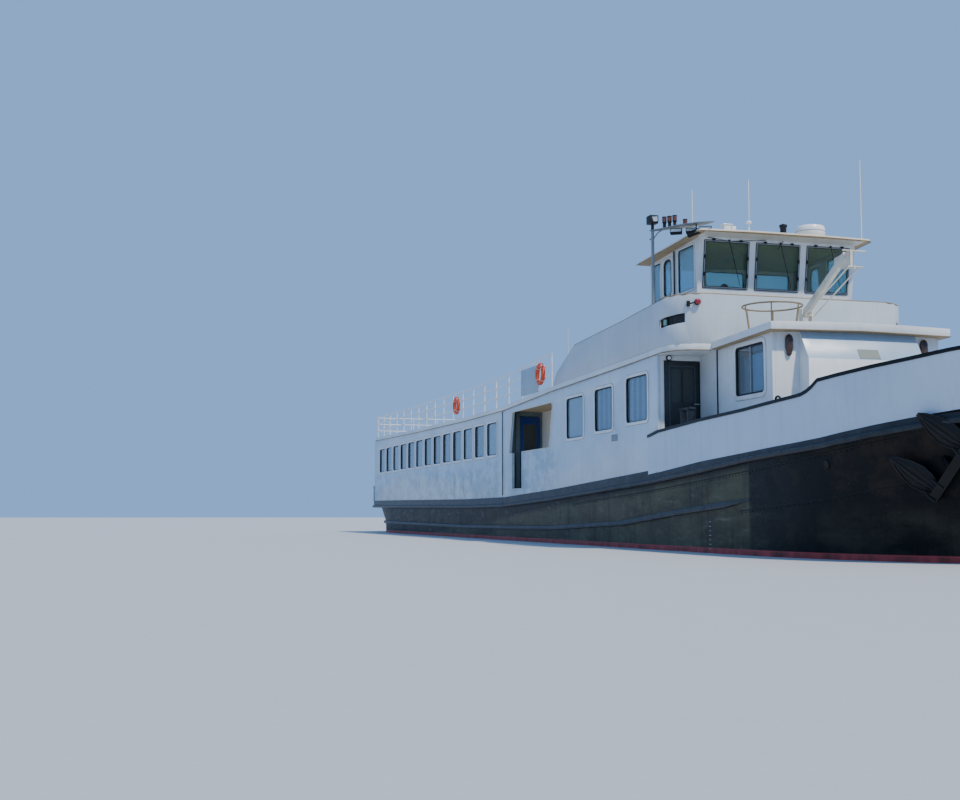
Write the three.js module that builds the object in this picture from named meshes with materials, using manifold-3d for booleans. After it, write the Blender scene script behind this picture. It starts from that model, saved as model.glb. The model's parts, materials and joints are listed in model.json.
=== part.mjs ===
// Hotel ship, a converted river barge, as a 1:2 scale model.
// Millimetres of the model. +X is the bow, +Y is port, +Z is up.
// The origin lies amidships, on the centreline, at the waterline.
import * as THREE from 'three';
import { mergeVertices } from 'three/addons/utils/BufferGeometryUtils.js';
import Module from 'manifold-3d';

const wasm = await Module();
wasm.setup();

// Driving dimensions
const halfBeam = 1650;
const draft = 550;
const bilge = 200;
const fit = 0.4; // gap between plates that touch
const sternX = -12500;
const stemX = 12500;
const capStemX = 12640;
const houseAftX = -11300;
const houseForeX = 6500;
const wallThick = 40;
const slabThick = 80;
const bridgeForeX = 7000;
const bridgeCornerR = 400;
const seamX = -100; // vertical plate seam that splits the house side
const sides = [['stbd', -1], ['port', 1]];

// Heights along the ship: x | hull top | roof seam | fore deck | rail cap | foot of the upper strake
const profile = [
  [-12640, 800, 2320, 800, 1150, 630],
  [-11300, 785, 2300, 790, 1150, 613],
  [-7000, 745, 2235, 745, 1150, 573],
  [-2500, 722, 2200, 722, 1150, 550],
  [0, 728, 2210, 728, 1150, 556],
  [2500, 812, 2310, 1180, 1290, 640],
  [5350, 938, 2375, 1240, 1370, 766],
  [6200, 977, 2396, 1265, 1390, 805],
  [6500, 948, 2406, 1278, 1434, 822],
  [7700, 1036, 2436, 1330, 1494, 901],
  [8750, 1086, 2450, 1390, 1526, 978],
  [9830, 1143, 2460, 1445, 1583, 1036],
  [10190, 1168, 2465, 1468, 1706, 1058],
  [11350, 1296, 2480, 1550, 1790, 1182],
  [12640, 1450, 2480, 1600, 1930, 1320],
];
const heights = (table, column) => (x) => {
  const found = table.findIndex((row) => row[0] >= x);
  const i = found < 0 ? table.length - 1 : Math.max(found, 1);
  const [a, b] = [table[i - 1], table[i]];
  const t = THREE.MathUtils.clamp((x - a[0]) / (b[0] - a[0]), 0, 1);
  return a[column] + (b[column] - a[column]) * t;
};
const sheerZ = heights(profile, 1);
const seamZ = heights(profile, 2);
const foredeckZ = heights(profile, 3);
const capLineZ = heights(profile, 4);
const strakeFootZ = heights(profile, 5);
const capStep = { from: 9830, to: 10190 }; // the rail climbs here in a hollow curve that ends in a corner
const capZ = (x) => {
  if (x < capStep.from || x > capStep.to) return capLineZ(x);
  const t = (x - capStep.from) / (capStep.to - capStep.from);
  return THREE.MathUtils.lerp(capLineZ(capStep.from), capLineZ(capStep.to), t ** 2);
};

// Cross sections where the lofted shells have their rings
const hullStations = [
  -12495, -12440, -12330, -12150, -11900, -11600, -11300, -10700, -10000, -9200, -8200, -7000, -4750, -2500, 0,
  2500, 5350, 6200, 6500, 7100, 7700, 8300, 8750, 9200, 9500, 9830, 10190, 10500, 10900, 11350, 11700, 12000,
  12180, 12300, 12400, 12480, 12500,
];

// Half breadth that tapers from full at `from` to nothing at `to`
const taper = (x, from, to, power, root) => {
  const t = THREE.MathUtils.clamp((x - from) / (to - from), 0, 1);
  return halfBeam * (1 - t ** power) ** root;
};
const narrow = 14; // half width of the stem bar
const deckHalf = (x) => Math.max(narrow, x > 0 ? taper(x, 8500, stemX, 3, 0.556)
  : taper(x, houseAftX, sternX, 2, 0.5));
const capHalf = (x) => Math.max(narrow, taper(x, 8500, capStemX, 3, 0.5));
const waterHalf = (x) => Math.max(narrow, x > 0 ? taper(x, 8000, 12300, 3, 1)
  : taper(x, -9500, -12100, 2, 0.6));
const floorHalf = (x) => Math.max(narrow / 2, (x > 0 ? taper(x, 7000, 11900, 2.5, 1)
  : taper(x, -8500, -11300, 2, 0.8)) - bilge);
const keelZ = (x) => {
  if (x < -8200) return -draft + 800 * ((x + 8200) / (sternX + 8200)) ** 1.5;
  const rise = [[11500, -550], [11900, -470], [12100, -300], [12300, 0], [12400, 690], [12500, 1290]];
  const i = rise.findIndex((r) => r[0] >= x);
  if (i < 1) return i < 0 ? 1290 : -draft;
  const t = (x - rise[i - 1][0]) / (rise[i][0] - rise[i - 1][0]);
  return rise[i - 1][1] + (rise[i][1] - rise[i - 1][1]) * t;
};

// Solids and booleans
function toSolid(geometry) {
  const g = geometry.clone();
  g.deleteAttribute('normal');
  g.deleteAttribute('uv');
  const m = mergeVertices(g, 1e-3);
  const vertProperties = new Float32Array(m.attributes.position.array);
  const triVerts = new Uint32Array(m.index.array);
  return new wasm.Manifold(new wasm.Mesh({ numProp: 3, vertProperties, triVerts }));
}

function toGeometry(solid) {
  const mesh = solid.getMesh();
  const g = new THREE.BufferGeometry();
  g.setAttribute('position', new THREE.BufferAttribute(new Float32Array(mesh.vertProperties), 3));
  g.setIndex(new THREE.BufferAttribute(new Uint32Array(mesh.triVerts), 1));
  return g;
}

const join = (...parts) => toGeometry(parts.map(toSolid).reduce((a, b) => a.add(b)));
const cut = (whole, ...tools) =>
  toGeometry(tools.map(toSolid).reduce((a, b) => a.subtract(b), toSolid(whole)));

// A foot trimmed to the surface that it stands on
const seat = (piece, carrier) => cut(piece, carrier.clone().translate(0, 0, fit));

function box(x0, x1, y0, y1, z0, z1) {
  const g = new THREE.BoxGeometry(x1 - x0, y1 - y0, z1 - z0);
  return g.translate((x0 + x1) / 2, (y0 + y1) / 2, (z0 + z1) / 2);
}

// Round bar between two points
function bar(from, to, radius, segments = 8) {
  const a = new THREE.Vector3(...from);
  const b = new THREE.Vector3(...to);
  const dir = b.clone().sub(a);
  const g = new THREE.CylinderGeometry(radius, radius, dir.length(), segments);
  g.applyQuaternion(new THREE.Quaternion().setFromUnitVectors(new THREE.Vector3(0, 1, 0), dir.normalize()));
  return g.translate((from[0] + to[0]) / 2, (from[1] + to[1]) / 2, (from[2] + to[2]) / 2);
}

// Closed skin through rings of points, with a fan at each end
function loft(rings) {
  const n = rings[0].length;
  const points = rings.flat();
  const index = [];
  for (let r = 0; r < rings.length - 1; r++) {
    for (let i = 0; i < n; i++) {
      const j = (i + 1) % n;
      index.push(r * n + i, r * n + j, (r + 1) * n + j, r * n + i, (r + 1) * n + j, (r + 1) * n + i);
    }
  }
  for (const [r, flip] of [[0, true], [rings.length - 1, false]]) {
    const centre = rings[r].reduce((s, p) => s.map((v, k) => v + p[k] / n), [0, 0, 0]);
    points.push(centre);
    for (let i = 0; i < n; i++) {
      const j = (i + 1) % n;
      const fan = [r * n + i, r * n + j, points.length - 1];
      index.push(...(flip ? fan.reverse() : fan));
    }
  }
  const g = new THREE.BufferGeometry();
  g.setAttribute('position', new THREE.Float32BufferAttribute(points.flat(), 3));
  g.setIndex(signedVolume(points, index) < 0 ? index.reverse() : index);
  return g;
}

function signedVolume(points, index) {
  let volume = 0;
  for (let i = 0; i < index.length; i += 3) {
    const [a, b, c] = [0, 1, 2].map((k) => new THREE.Vector3(...points[index[i + k]]));
    volume += a.dot(b.cross(c)) / 6;
  }
  return volume;
}

// Section swept along plan points; `section(point)` gives [outward, up] corners.
// Outward is to the right of the way of travel.
function sweep(path, section) {
  const rings = path.map((p, i) => {
    const before = path[Math.max(i - 1, 0)];
    const after = path[Math.min(i + 1, path.length - 1)];
    const turn = new THREE.Vector2(after[0] - before[0], after[1] - before[1]).normalize();
    return section(p).map(([out, up]) => [p[0] + turn.y * out, p[1] - turn.x * out, p[2] + up]);
  });
  return loft(rings);
}

const rect = (out0, out1, up0, up1) => () => [[out0, up0], [out1, up0], [out1, up1], [out0, up1]];
const range = (from, to, steps) =>
  Array.from({ length: steps + 1 }, (_, i) => from + (to - from) * i / steps);

// Outline with round corners: points are [x, y, radius]
function outline(points, path = new THREE.Shape(), cornerSteps = 3) {
  const corners = points.map((p, i) => {
    const [prev, next] = [points.at(i - 1), points[(i + 1) % points.length]];
    const r = p[2] ?? 0;
    const here = new THREE.Vector2(p[0], p[1]);
    if (!r) return [here];
    const a = here.clone().add(new THREE.Vector2(prev[0], prev[1]).sub(here).setLength(r));
    const b = here.clone().add(new THREE.Vector2(next[0], next[1]).sub(here).setLength(r));
    return new THREE.QuadraticBezierCurve(a, here, b).getPoints(cornerSteps);
  });
  path.setFromPoints(corners.flat());
  return path;
}

const windowHole = (x0, x1, z0, z1, r) =>
  outline([[x0, z0, r], [x1, z0, r], [x1, z1, r], [x0, z1, r]], new THREE.Path());

// Flat plate with its holes cut out
function plate(shape, thick) {
  const flat = (path, depth) =>
    new THREE.ExtrudeGeometry(new THREE.Shape(path.getPoints()), { depth, bevelEnabled: false });
  const holes = shape.holes.map((hole) => flat(hole, thick + 20).translate(0, 0, -10));
  return holes.length ? cut(flat(shape, thick), ...holes) : flat(shape, thick);
}

// Panel along the ship: its shape is in x and z, its outer face at side * outerY
function sidePanel(shape, side, outerY, thick) {
  const g = plate(shape, thick);
  g.rotateX(Math.PI / 2);
  return g.translate(0, side < 0 ? -(outerY - thick) : outerY, 0);
}

// Panel across the ship: its shape is in y and z, from x0 forward
function crossPanel(shape, x0, thick) {
  const g = plate(shape, thick);
  const turn = new THREE.Matrix4().makeBasis(
    new THREE.Vector3(0, 1, 0), new THREE.Vector3(0, 0, 1), new THREE.Vector3(1, 0, 0));
  return g.applyMatrix4(turn).translate(x0, 0, 0);
}

// Finishes, one material for each
const paint = (color, roughness = 0.5, metalness = 0) =>
  new THREE.MeshStandardMaterial({ color, roughness, metalness });
const finish = {
  hullBlack: paint(0x1c1d1f, 0.55),
  strakeBlack: paint(0x262b32, 0.4),
  capBlack: paint(0x14161a, 0.4),
  shipWhite: paint(0xdfe3e6, 0.4),
  roofWhite: paint(0xd9d5c8, 0.5),
  deckGrey: paint(0x8b8f90, 0.8),
  doorDark: paint(0x26282b, 0.5),
  doorBlue: paint(0x0b2a6b, 0.4),
  glass: paint(0x7f95a6, 0.15),
  antifoul: paint(0x7d3a40, 0.7),
  bronze: paint(0xa8824a, 0.35, 0.9),
  steel: paint(0x9b9b98, 0.5, 0.6),
  lampBlack: paint(0x17181a, 0.4),
  rope: paint(0x8f8b6e, 0.95),
  plastic: paint(0xe9eaea, 0.4),
};

const ship = new THREE.Group();
function add(name, geometry, material, parent = ship) {
  const mesh = new THREE.Mesh(geometry, material);
  mesh.name = name;
  parent.add(mesh);
  return mesh;
}

// Hull below the sheer, decked
function hullRing(x) {
  const low = keelZ(x);
  const high = sheerZ(x);
  const turnUp = Math.min(bilge, (high - low) * 0.35);
  const half = [[floorHalf(x), low], [waterHalf(x) - turnUp * 0.29, low + turnUp * 0.29]];
  const base = Math.max(low + turnUp, Math.min(0, high));
  half.push([waterHalf(x), low + turnUp]);
  for (const t of [0.4, 0.75]) {
    half.push([waterHalf(x) + (deckHalf(x) - waterHalf(x)) * t ** 1.4, base + (high - base) * t]);
  }
  half.push([deckHalf(x), high]);
  half[1][0] = Math.max(half[1][0], half[0][0] + 1);
  const stbd = half.map(([y, z]) => [x, -y, z]);
  const port = half.map(([y, z]) => [x, y, z]).reverse();
  return [...stbd, ...port];
}
const hullSkin = loft(hullStations.map(hullRing));
add('hull', hullSkin, finish.hullBlack);

// White fore ship: shell, deck and bulwark
const proud = 8; // the fore ship's plating stands this far outside the house side
const bulwarkThick = 30;
const lapX = 6200; // its plates lap over the house side from here forward
const lapFootZ = (x) => sheerZ(houseForeX) + 4 + (x - houseForeX) * 0.07;
const foreStations = [6500.4, ...hullStations.filter((x) => x > 6600), 9920, 10010, 10100, 12600, capStemX]
  .sort((a, b) => a - b);
const shellFootZ = (x) => {
  const t = Math.max(0, x - stemX) / (capStemX - stemX);
  return sheerZ(x) + fit + (capZ(capStemX) - 60 - sheerZ(stemX)) * t;
};
function foreRing(x, outer, low, high) {
  const foot = shellFootZ(x);
  const slope = (capHalf(x) - deckHalf(x)) / (capZ(x) - foot);
  const at = (z) => deckHalf(x) + slope * Math.max(0, z - foot) + outer;
  return [[x, -at(low), low], [x, -at(high), high], [x, at(high), high], [x, at(low), low]];
}
function foreShip() {
  const shell = loft(foreStations.map((x) => foreRing(x, proud, shellFootZ(x), capZ(x))));
  const wellStations = foreStations.filter((x) => x < 12250);
  const well = loft([
    foreRing(6400, -bulwarkThick, foredeckZ(6500), capZ(6500) + 300),
    ...wellStations.map((x) => foreRing(x, -bulwarkThick, foredeckZ(x), capZ(x) + 40)),
  ]);
  const lapEndX = 6600;
  const laps = sides.map(([, side]) => {
    const shape = outline([[lapX, lapFootZ(lapX)], [lapEndX, lapFootZ(lapEndX)], [lapEndX, capZ(lapEndX) - 1],
      [lapX, capLineZ(lapX)]]);
    return sidePanel(shape, side, halfBeam + proud, proud - fit);
  });
  return join(cut(shell, well), ...laps);
}
const foreShell = foreShip();
add('forecastle', foreShell, finish.shipWhite);

// U-shaped path round the bow, from starboard aft to port aft
function bowPath(fromX, endX, stations, half, z) {
  const stbd = stations.filter((x) => x >= fromX && x <= endX).map((x) => [x, -half(x), z(x)]);
  const port = stbd.map(([x, y, h]) => [x, -y, h]).reverse();
  return [...stbd, ...port];
}
const capWide = 66;
const capHigh = 34;
const capGap = 1; // the cap is mitred at each station, so it needs a little more room
const capPath = bowPath(6500.4, capStemX, foreStations, capHalf, (x) => capZ(x) + capGap);
const capOut = proud + 12;
// It runs on a little over the lap plates
const capTails = sides.map(([, side]) => {
  const ends = [[lapX, capLineZ(lapX) + capGap], [6520, capLineZ(6520) + capGap]];
  const shape = outline([...ends, ...ends.map(([x, z]) => [x, z + capHigh]).reverse()]);
  return sidePanel(shape, side, halfBeam + capOut, capOut - proud - fit);
});
const capBand = sweep(capPath, rect(capOut - capWide, capOut, 0, capHigh));
add('rail_cap', join(capBand, ...capTails), finish.capBlack);

// The hull grown a little, to cut what lies against it
const hullRoom = hullSkin.clone().scale(1 + 2 * fit / stemX, 1 + 2 * fit / halfBeam, 1);

// Upper strake: a flat plate below the sheer with a half-round bar along its foot
const strakePlate = 8;
const strakeBar = { out: 50, deep: 60 };
const strakeTopZ = (x) => (x < lapX ? sheerZ(x) : Math.min(lapFootZ(x), sheerZ(x))) - 2 * fit;
function upperStrake(path) {
  const band = sweep(path, ([x, y, foot]) => {
    const inner = -Math.min(70, Math.abs(y) / 2);
    const [top, bar] = [strakeTopZ(x) - foot, strakeBar];
    return [[inner, 0], [bar.out * 0.7, 0], [bar.out, bar.deep * 0.3], [bar.out, bar.deep * 0.6],
      [bar.out * 0.6, bar.deep * 0.95], [strakePlate, bar.deep], [strakePlate, top], [-5, top]];
  });
  return cut(band, hullRoom);
}
// It is butted at the seam of the house side: one length wraps the bow, the other the stern
const foreXs = [seamX + fit, ...hullStations, lapX - fit].sort((p, q) => p - q);
const foreStrake = upperStrake(bowPath(seamX + fit, stemX, foreXs, deckHalf, strakeFootZ));
add('upper_strake_fore', foreStrake, finish.strakeBlack);
const aftXs = [seamX - fit, ...hullStations.filter((x) => x < seamX)].sort((p, q) => q - p);
const portAft = aftXs.map((x) => [x, deckHalf(x), strakeFootZ(x)]);
const stbdAft = portAft.map(([x, y, z]) => [x, -y, z]).reverse();
add('upper_strake_aft', upperStrake([...portAft, ...stbdAft]), finish.strakeBlack);

// Lower strake: x | z of its top
const lowerStrake = [
  [-10700, 300], [-2500, 250], [1200, 262], [2950, 275], [4900, 325], [7200, 505], [8850, 610],
];
const lowerStrakeZ = heights(lowerStrake, 1);
const hullHalfAt = (x, z) => {
  const t = THREE.MathUtils.clamp(z / sheerZ(x), 0, 1);
  return waterHalf(x) + (deckHalf(x) - waterHalf(x)) * t ** 1.4;
};
const strakeEndX = 8850;
const strakeRunOut = (x) => THREE.MathUtils.clamp((strakeEndX - x) / 500, 0.15, 1);
for (const [tag, side] of sides) {
  const xs = [-10700, ...hullStations.filter((x) => x > -10700 && x < 8700), 8600, strakeEndX];
  const path = xs.map((x) => [x, side * hullHalfAt(x, lowerStrakeZ(x)), lowerStrakeZ(x)]);
  const section = ([x]) => {
    const [outScale, upScale] = [strakeRunOut(x), 0.4 + 0.6 * strakeRunOut(x)];
    return [[-60, -80], [34, -70], [42, -40], [34, -10], [-60, 0]]
      .map(([out, up]) => [-side * (out > 0 ? out * outScale : out), up * upScale]);
  };
  const band = cut(sweep(path, section), hullSkin.clone().translate(0, side * fit, 0));
  add(`lower_strake_${tag}`, band, finish.strakeBlack);
}

// Stern: bulwark, skeg with shaft tube, propeller and rudder
function sternBulwark() {
  const wall = 350;
  const xs = [-11340, -11600, -11850, -12080, -12260, -12390, -12470];
  const port = xs.map((x) => [x, deckHalf(x), sheerZ(x) + fit]);
  const stbd = port.map(([x, y, z]) => [x, -y, z]).reverse();
  const skin = sweep([...port, ...stbd].reverse(), rect(-26, 0, 0, wall));
  const rail = sweep([...port, ...stbd].reverse(), rect(-44, 18, wall - 1, wall + 30));
  return join(skin, rail);
}
add('stern_bulwark', sternBulwark(), finish.shipWhite);

const shaftZ = -300;
const propX = -11420;
const tubeEndX = -11290;
function skeg() {
  const shape = outline([[-11250, 60], [-8900, 60], [-8600, -draft - 30], [-11250, -draft - 30]]);
  const fin = sidePanel(shape, 1, 30, 60);
  const tube = bar([tubeEndX, 0, shaftZ], [-10300, 0, shaftZ], 42, 10);
  const heel = box(-12120, -11200, -26, 26, -draft - 30, -draft + 4);
  return cut(join(fin, tube, heel), hullSkin.clone().translate(0, 0, -fit));
}
add('skeg', skeg(), finish.antifoul);

function propeller() {
  const shaft = bar([-11480, 0, shaftZ], [tubeEndX - fit, 0, shaftZ], 20, 12);
  const hub = new THREE.CylinderGeometry(30, 46, 110, 12).rotateZ(Math.PI / 2).translate(propX, 0, shaftZ);
  const blades = range(0, 3, 3).map((i) => {
    const shape = outline([[-22, 30], [22, 30], [58, 130, 40], [40, 205, 30], [-40, 205, 30],
      [-58, 130, 40]]);
    const blade = new THREE.ExtrudeGeometry(shape, { depth: 10, bevelEnabled: false, curveSegments: 3 });
    blade.translate(0, 0, -5).rotateY(Math.PI / 2 - 0.6);
    return blade.rotateX(i * Math.PI / 2).translate(propX, 0, shaftZ);
  });
  return join(shaft, hub, ...blades);
}
add('propeller', propeller(), finish.bronze);

const rudderX = -11950;
function rudder() {
  const plan = outline([[-290, -5], [-120, -26], [30, -32], [90, -20], [110, 0], [90, 20], [30, 32],
    [-120, 26], [-290, 5]]);
  const blade = new THREE.ExtrudeGeometry(plan, { depth: 440, bevelEnabled: false, curveSegments: 3 });
  blade.translate(rudderX, 0, -505);
  return join(blade, bar([rudderX, 0, -66], [rudderX, 0, keelZ(rudderX) - 6], 22, 10));
}
add('rudder', rudder(), finish.antifoul);

// Anchors, stowed against the flare of the bow with their flukes up and aft
const anchorAt = { x: 11524, z: 821, out: 100 };
// Fluke: distance from the crown | breadth | thickness
const flukeRows = [
  [20, 90, 60], [120, 196, 56], [220, 232, 52], [330, 190, 44], [440, 100, 32], [505, 22, 16],
];
function anchor(side) {
  const fluke = (x) => loft(flukeRows.map(([up, wide, thick]) =>
    [[x - wide / 2, 0, up], [x, -thick / 2, up], [x + wide / 2, 0, up], [x, thick / 2, up]]));
  const crown = box(-335, 335, -52, 52, -45, 40);
  const shank = bar([0, 0, 0], [0, 330, 370], 42, 10);
  const parts = join(crown, shank, fluke(-255), fluke(255));
  // Axes on starboard: out of the hull, then up along the flukes, which lie in the plating's plane
  const out = new THREE.Vector3(0.6, -1, -0.42).normalize();
  const up = new THREE.Vector3(-0.678, -0.716, 0.735).normalize();
  const inward = out.clone().negate();
  const place = new THREE.Matrix4().makeBasis(inward.clone().cross(up), inward, up);
  const { x, z } = anchorAt;
  parts.applyMatrix4(place).translate(x, -hullHalfAt(x, z) - anchorAt.out, z);
  if (side > 0) {
    parts.scale(1, -1, 1);
    parts.getIndex().array.reverse();
  }
  const shifts = [[0, 0], [fit, 0], [4 * fit, 0], [fit, 2 * fit], [fit, -2 * fit]];
  const tools = [hullSkin, foreShell, foreStrake].flatMap((skin) =>
    shifts.map(([dy, dz]) => skin.clone().translate(dy, side * dy, dz)));
  return cut(parts, ...tools);
}
for (const [tag, side] of sides) add(`anchor_${tag}`, anchor(side), finish.lampBlack);

// Deck gear: windlass on the fore deck and double bollards at the four corners
const windlassX = 10700;
function windlass() {
  const z = foredeckZ(windlassX);
  return seat(join(
    box(windlassX - 220, windlassX + 160, -330, 330, z - 30, z + 40),
    box(windlassX - 90, windlassX + 90, -60, 60, z + 39, z + 300),
    box(windlassX - 60, windlassX + 60, -300, -260, z + 39, z + 240),
    box(windlassX - 60, windlassX + 60, 260, 300, z + 39, z + 240),
    bar([windlassX, -390, z + 190], [windlassX, 390, z + 190], 34, 10),
    bar([windlassX, -230, z + 190], [windlassX, -110, z + 190], 105, 12),
    bar([windlassX, 110, z + 190], [windlassX, 230, z + 190], 105, 12),
  ), foreShell);
}
add('windlass', windlass(), finish.lampBlack);

function bollards(x, y, z, high, carrier) {
  const section = [[0, 10], [46, 10], [46, high - 44], [58, high - 36], [58, high - 8], [0, high]];
  const posts = [-95, 95].map((dx) =>
    new THREE.LatheGeometry(section.map((p) => new THREE.Vector2(...p)), 12)
      .rotateX(Math.PI / 2).translate(x + dx, y, z));
  return seat(join(box(x - 170, x + 170, y - 75, y + 75, z - 20, z + 18), ...posts), carrier);
}
// Bollards: place | x | distance from the centreline | deck z | height | what they stand on
const bollardPlaces = [
  ['fore', 6900, 1440, foredeckZ(6900), 430, foreShell],
  ['aft', -11900, 760, sheerZ(-11900), 254, hullSkin],
];
for (const [place, x, y, z, high, carrier] of bollardPlaces) {
  for (const [tag, side] of sides) {
    add(`bollards_${place}_${tag}`, bollards(x, side * y, z, high, carrier), finish.lampBlack);
  }
}

// House: plate walls on the deck edge. Windows are rows of x0 | x1 | z0 | z1
const foreWindows = [[3165, 3875, 1545, 2140], [4330, 5000, 1580, 2165], [5480, 6185, 1620, 2210]];
const aftWindowCount = 13;
const aftWindowPitch = 800;
const aftWindows = range(0, aftWindowCount - 1, aftWindowCount - 1)
  .map((i) => [-10650 + i * aftWindowPitch, -10650 + i * aftWindowPitch + 620, 1475, 2050]);
const entry = { sillZ: 855, railZ: 1460, topZ: 2150, gateFrom: 450, gateTo: 1000 };

// Points of a height curve from one place to another, at the stations between them
function edge(height, from, to, shift) {
  const [low, high] = [Math.min(from, to), Math.max(from, to)];
  const xs = [low, ...hullStations.filter((x) => x > low + 20 && x < high - 20), high];
  const points = xs.map((x) => [x, height(x) + shift]);
  return from < to ? points : points.reverse();
}

function houseSide(from, to, windows, extraHole) {
  const shape = outline([...edge(sheerZ, from, to, fit), ...edge(seamZ, to, from, -fit)]);
  windows.forEach(([x0, x1, z0, z1]) => shape.holes.push(windowHole(x0, x1, z0, z1, 60)));
  if (extraHole) shape.holes.push(extraHole);
  return shape;
}
const entryHole = () => outline([
  [entry.gateFrom, entry.sillZ, 30], [entry.gateTo, entry.sillZ, 30], [entry.gateTo, entry.railZ],
  [2375, entry.railZ], [2550, entry.topZ, 90], [475, entry.topZ, 30], [300, entry.railZ],
  [entry.gateFrom, entry.railZ]], new THREE.Path());
const glazingThick = 18;
for (const [tag, side] of sides) {
  const fore = houseSide(seamX + fit, houseForeX, foreWindows, entryHole());
  const aft = houseSide(houseAftX, seamX, aftWindows);
  add(`house_side_fore_${tag}`, sidePanel(fore, side, halfBeam, wallThick), finish.shipWhite);
  add(`house_side_aft_${tag}`, sidePanel(aft, side, halfBeam, wallThick), finish.shipWhite);
  const inner = halfBeam - wallThick - fit;
  const pane = (x0, x1, z0, z1) =>
    sidePanel(outline([[x0, z0], [x1, z0], [x1, z1], [x0, z1]]), side, inner, glazingThick);
  add(`glazing_fore_${tag}`, pane(3080, 6290, 1480, 2270), finish.glass);
  add(`glazing_aft_${tag}`, pane(-10750, -350, 1420, 2100), finish.glass);
}

// Entry lobby behind the opening, with a door in its aft wall
const lobby = { x0: 250, x1: 2620, inY: 1050, floorZ: 828, topZ: 2195, wall: 20 };
const doorLead = 2; // how far a door stands proud of the wall that it opens from
const entryDoor = { x: lobby.x0 - doorLead, hingeX: lobby.x0 - doorLead, y0: 1080, y1: 1460, z0: 856, z1: 2100,
  thick: 22 };
const along = (side, a, b) => (side < 0 ? [-b, -a] : [a, b]);
function entryLobby(side) {
  const out = halfBeam - wallThick - fit;
  const room = [lobby.x0 + lobby.wall, lobby.x1 - lobby.wall, ...along(side, lobby.inY, out + 50),
    lobby.floorZ + lobby.wall, lobby.topZ - lobby.wall];
  const doorway = [lobby.x0 - 20, lobby.x0 + 40, ...along(side, entryDoor.y0, entryDoor.y1),
    entryDoor.z0, entryDoor.z1];
  return cut(box(lobby.x0, lobby.x1, ...along(side, lobby.inY - lobby.wall, out), lobby.floorZ, lobby.topZ),
    box(...room), box(...doorway));
}

// Every door is 2 mm proud of its wall on the side that it opens to, and turns on two knuckles there
const doorGap = 6;
const knuckleR = Math.hypot(doorGap, doorLead) - fit;
function knuckles(x, y, z0, z1) {
  return [z0 + 120, z1 - 220].map((z) => bar([x, y, z], [x, y, z + 100], knuckleR, 8));
}
function swingDoor(door, y, hingeY, glass) {
  const z = [door.z0 + doorGap, door.z1 - doorGap];
  const shape = outline([[y[0] + doorGap, z[0]], [y[1] - doorGap, z[0]], [y[1] - doorGap, z[1]],
    [y[0] + doorGap, z[1]]]);
  if (glass) shape.holes.push(windowHole(y[0] + 70, y[1] - 70, glass[0], glass[1], 20));
  return join(crossPanel(shape, door.x, door.thick), ...knuckles(door.hingeX, hingeY, ...z));
}
for (const [tag, side] of sides) {
  add(`entry_lobby_${tag}`, entryLobby(side), finish.roofWhite);
  const y = along(side, entryDoor.y0, entryDoor.y1);
  add(`entry_door_${tag}`, swingDoor(entryDoor, y, side * (entryDoor.y0 + doorGap)), finish.doorBlue);
}

// Cross walls of the house
const foreDoorX = houseForeX - wallThick - doorLead;
const foreDoor = { x: foreDoorX, hingeX: foreDoorX, y0: 1055, y1: 1560, z0: 1290, z1: 2342, thick: 26 };
const inHouse = halfBeam - wallThick - fit;
function houseFrontWall() {
  const low = sheerZ(houseForeX - wallThick) + fit;
  const top = seamZ(houseForeX - wallThick) - fit;
  const shape = outline([[-inHouse, low], [inHouse, low], [inHouse, top], [-inHouse, top]]);
  for (const [, side] of sides) {
    const [y0, y1] = along(side, foreDoor.y0, foreDoor.y1);
    shape.holes.push(windowHole(y0, y1, foreDoor.z0, foreDoor.z1, 0));
  }
  return crossPanel(shape, houseForeX - wallThick, wallThick);
}
add('house_front_wall', houseFrontWall(), finish.shipWhite);
for (const [tag, side] of sides) {
  const y = along(side, foreDoor.y0, foreDoor.y1);
  add(`fore_door_${tag}`, swingDoor(foreDoor, y, side * (foreDoor.y1 - doorGap)), finish.doorDark);
}

const aftDoorX = houseAftX + wallThick + doorLead;
const aftDoor = { x: aftDoorX - 26, hingeX: aftDoorX, y0: -210, y1: 210, z0: 850, z1: 1880, thick: 26 };
function houseAftWall() {
  const low = sheerZ(houseAftX) + fit;
  const top = seamZ(houseAftX + wallThick) - fit;
  const shape = outline([[-inHouse, low], [inHouse, low], [inHouse, top], [-inHouse, top]]);
  shape.holes.push(windowHole(aftDoor.y0, aftDoor.y1, aftDoor.z0, aftDoor.z1, 0));
  for (const y of [-1050, 650]) shape.holes.push(windowHole(y, y + 400, 1350, 1850, 50));
  return crossPanel(shape, houseAftX, wallThick);
}
add('house_aft_wall', houseAftWall(), finish.shipWhite);
add('aft_door', swingDoor(aftDoor, [aftDoor.y0, aftDoor.y1], aftDoor.y0 + doorGap, [1350, 1780]),
  finish.doorDark);

// Upper deck: one slab over the house, out to the bridge front, round at its corners
const deckAftX = -11420;
const aftCornerR = 300;
const edgeLip = 12;
const slabHalf = (x) => {
  const full = halfBeam + edgeLip;
  if (x > bridgeForeX - bridgeCornerR) {
    const dx = x - (bridgeForeX - bridgeCornerR);
    return full - bridgeCornerR + Math.sqrt(Math.max(0, bridgeCornerR ** 2 - dx ** 2));
  }
  const dx = deckAftX + aftCornerR - x;
  return dx > 0 ? full - aftCornerR + Math.sqrt(Math.max(0, aftCornerR ** 2 - dx ** 2)) : full;
};
const roundSteps = [0, 0.5, 0.8, 0.95, 1];
const slabStations = [
  ...roundSteps.map((t) => deckAftX + aftCornerR * (1 - t)).reverse(),
  -9200, -7000, -4750, -2500, 0, 2500, 5350, 6200, 6500,
  ...roundSteps.map((t) => bridgeForeX - bridgeCornerR * (1 - t)),
];
const slabTop = (x) => seamZ(x) + slabThick;
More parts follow.
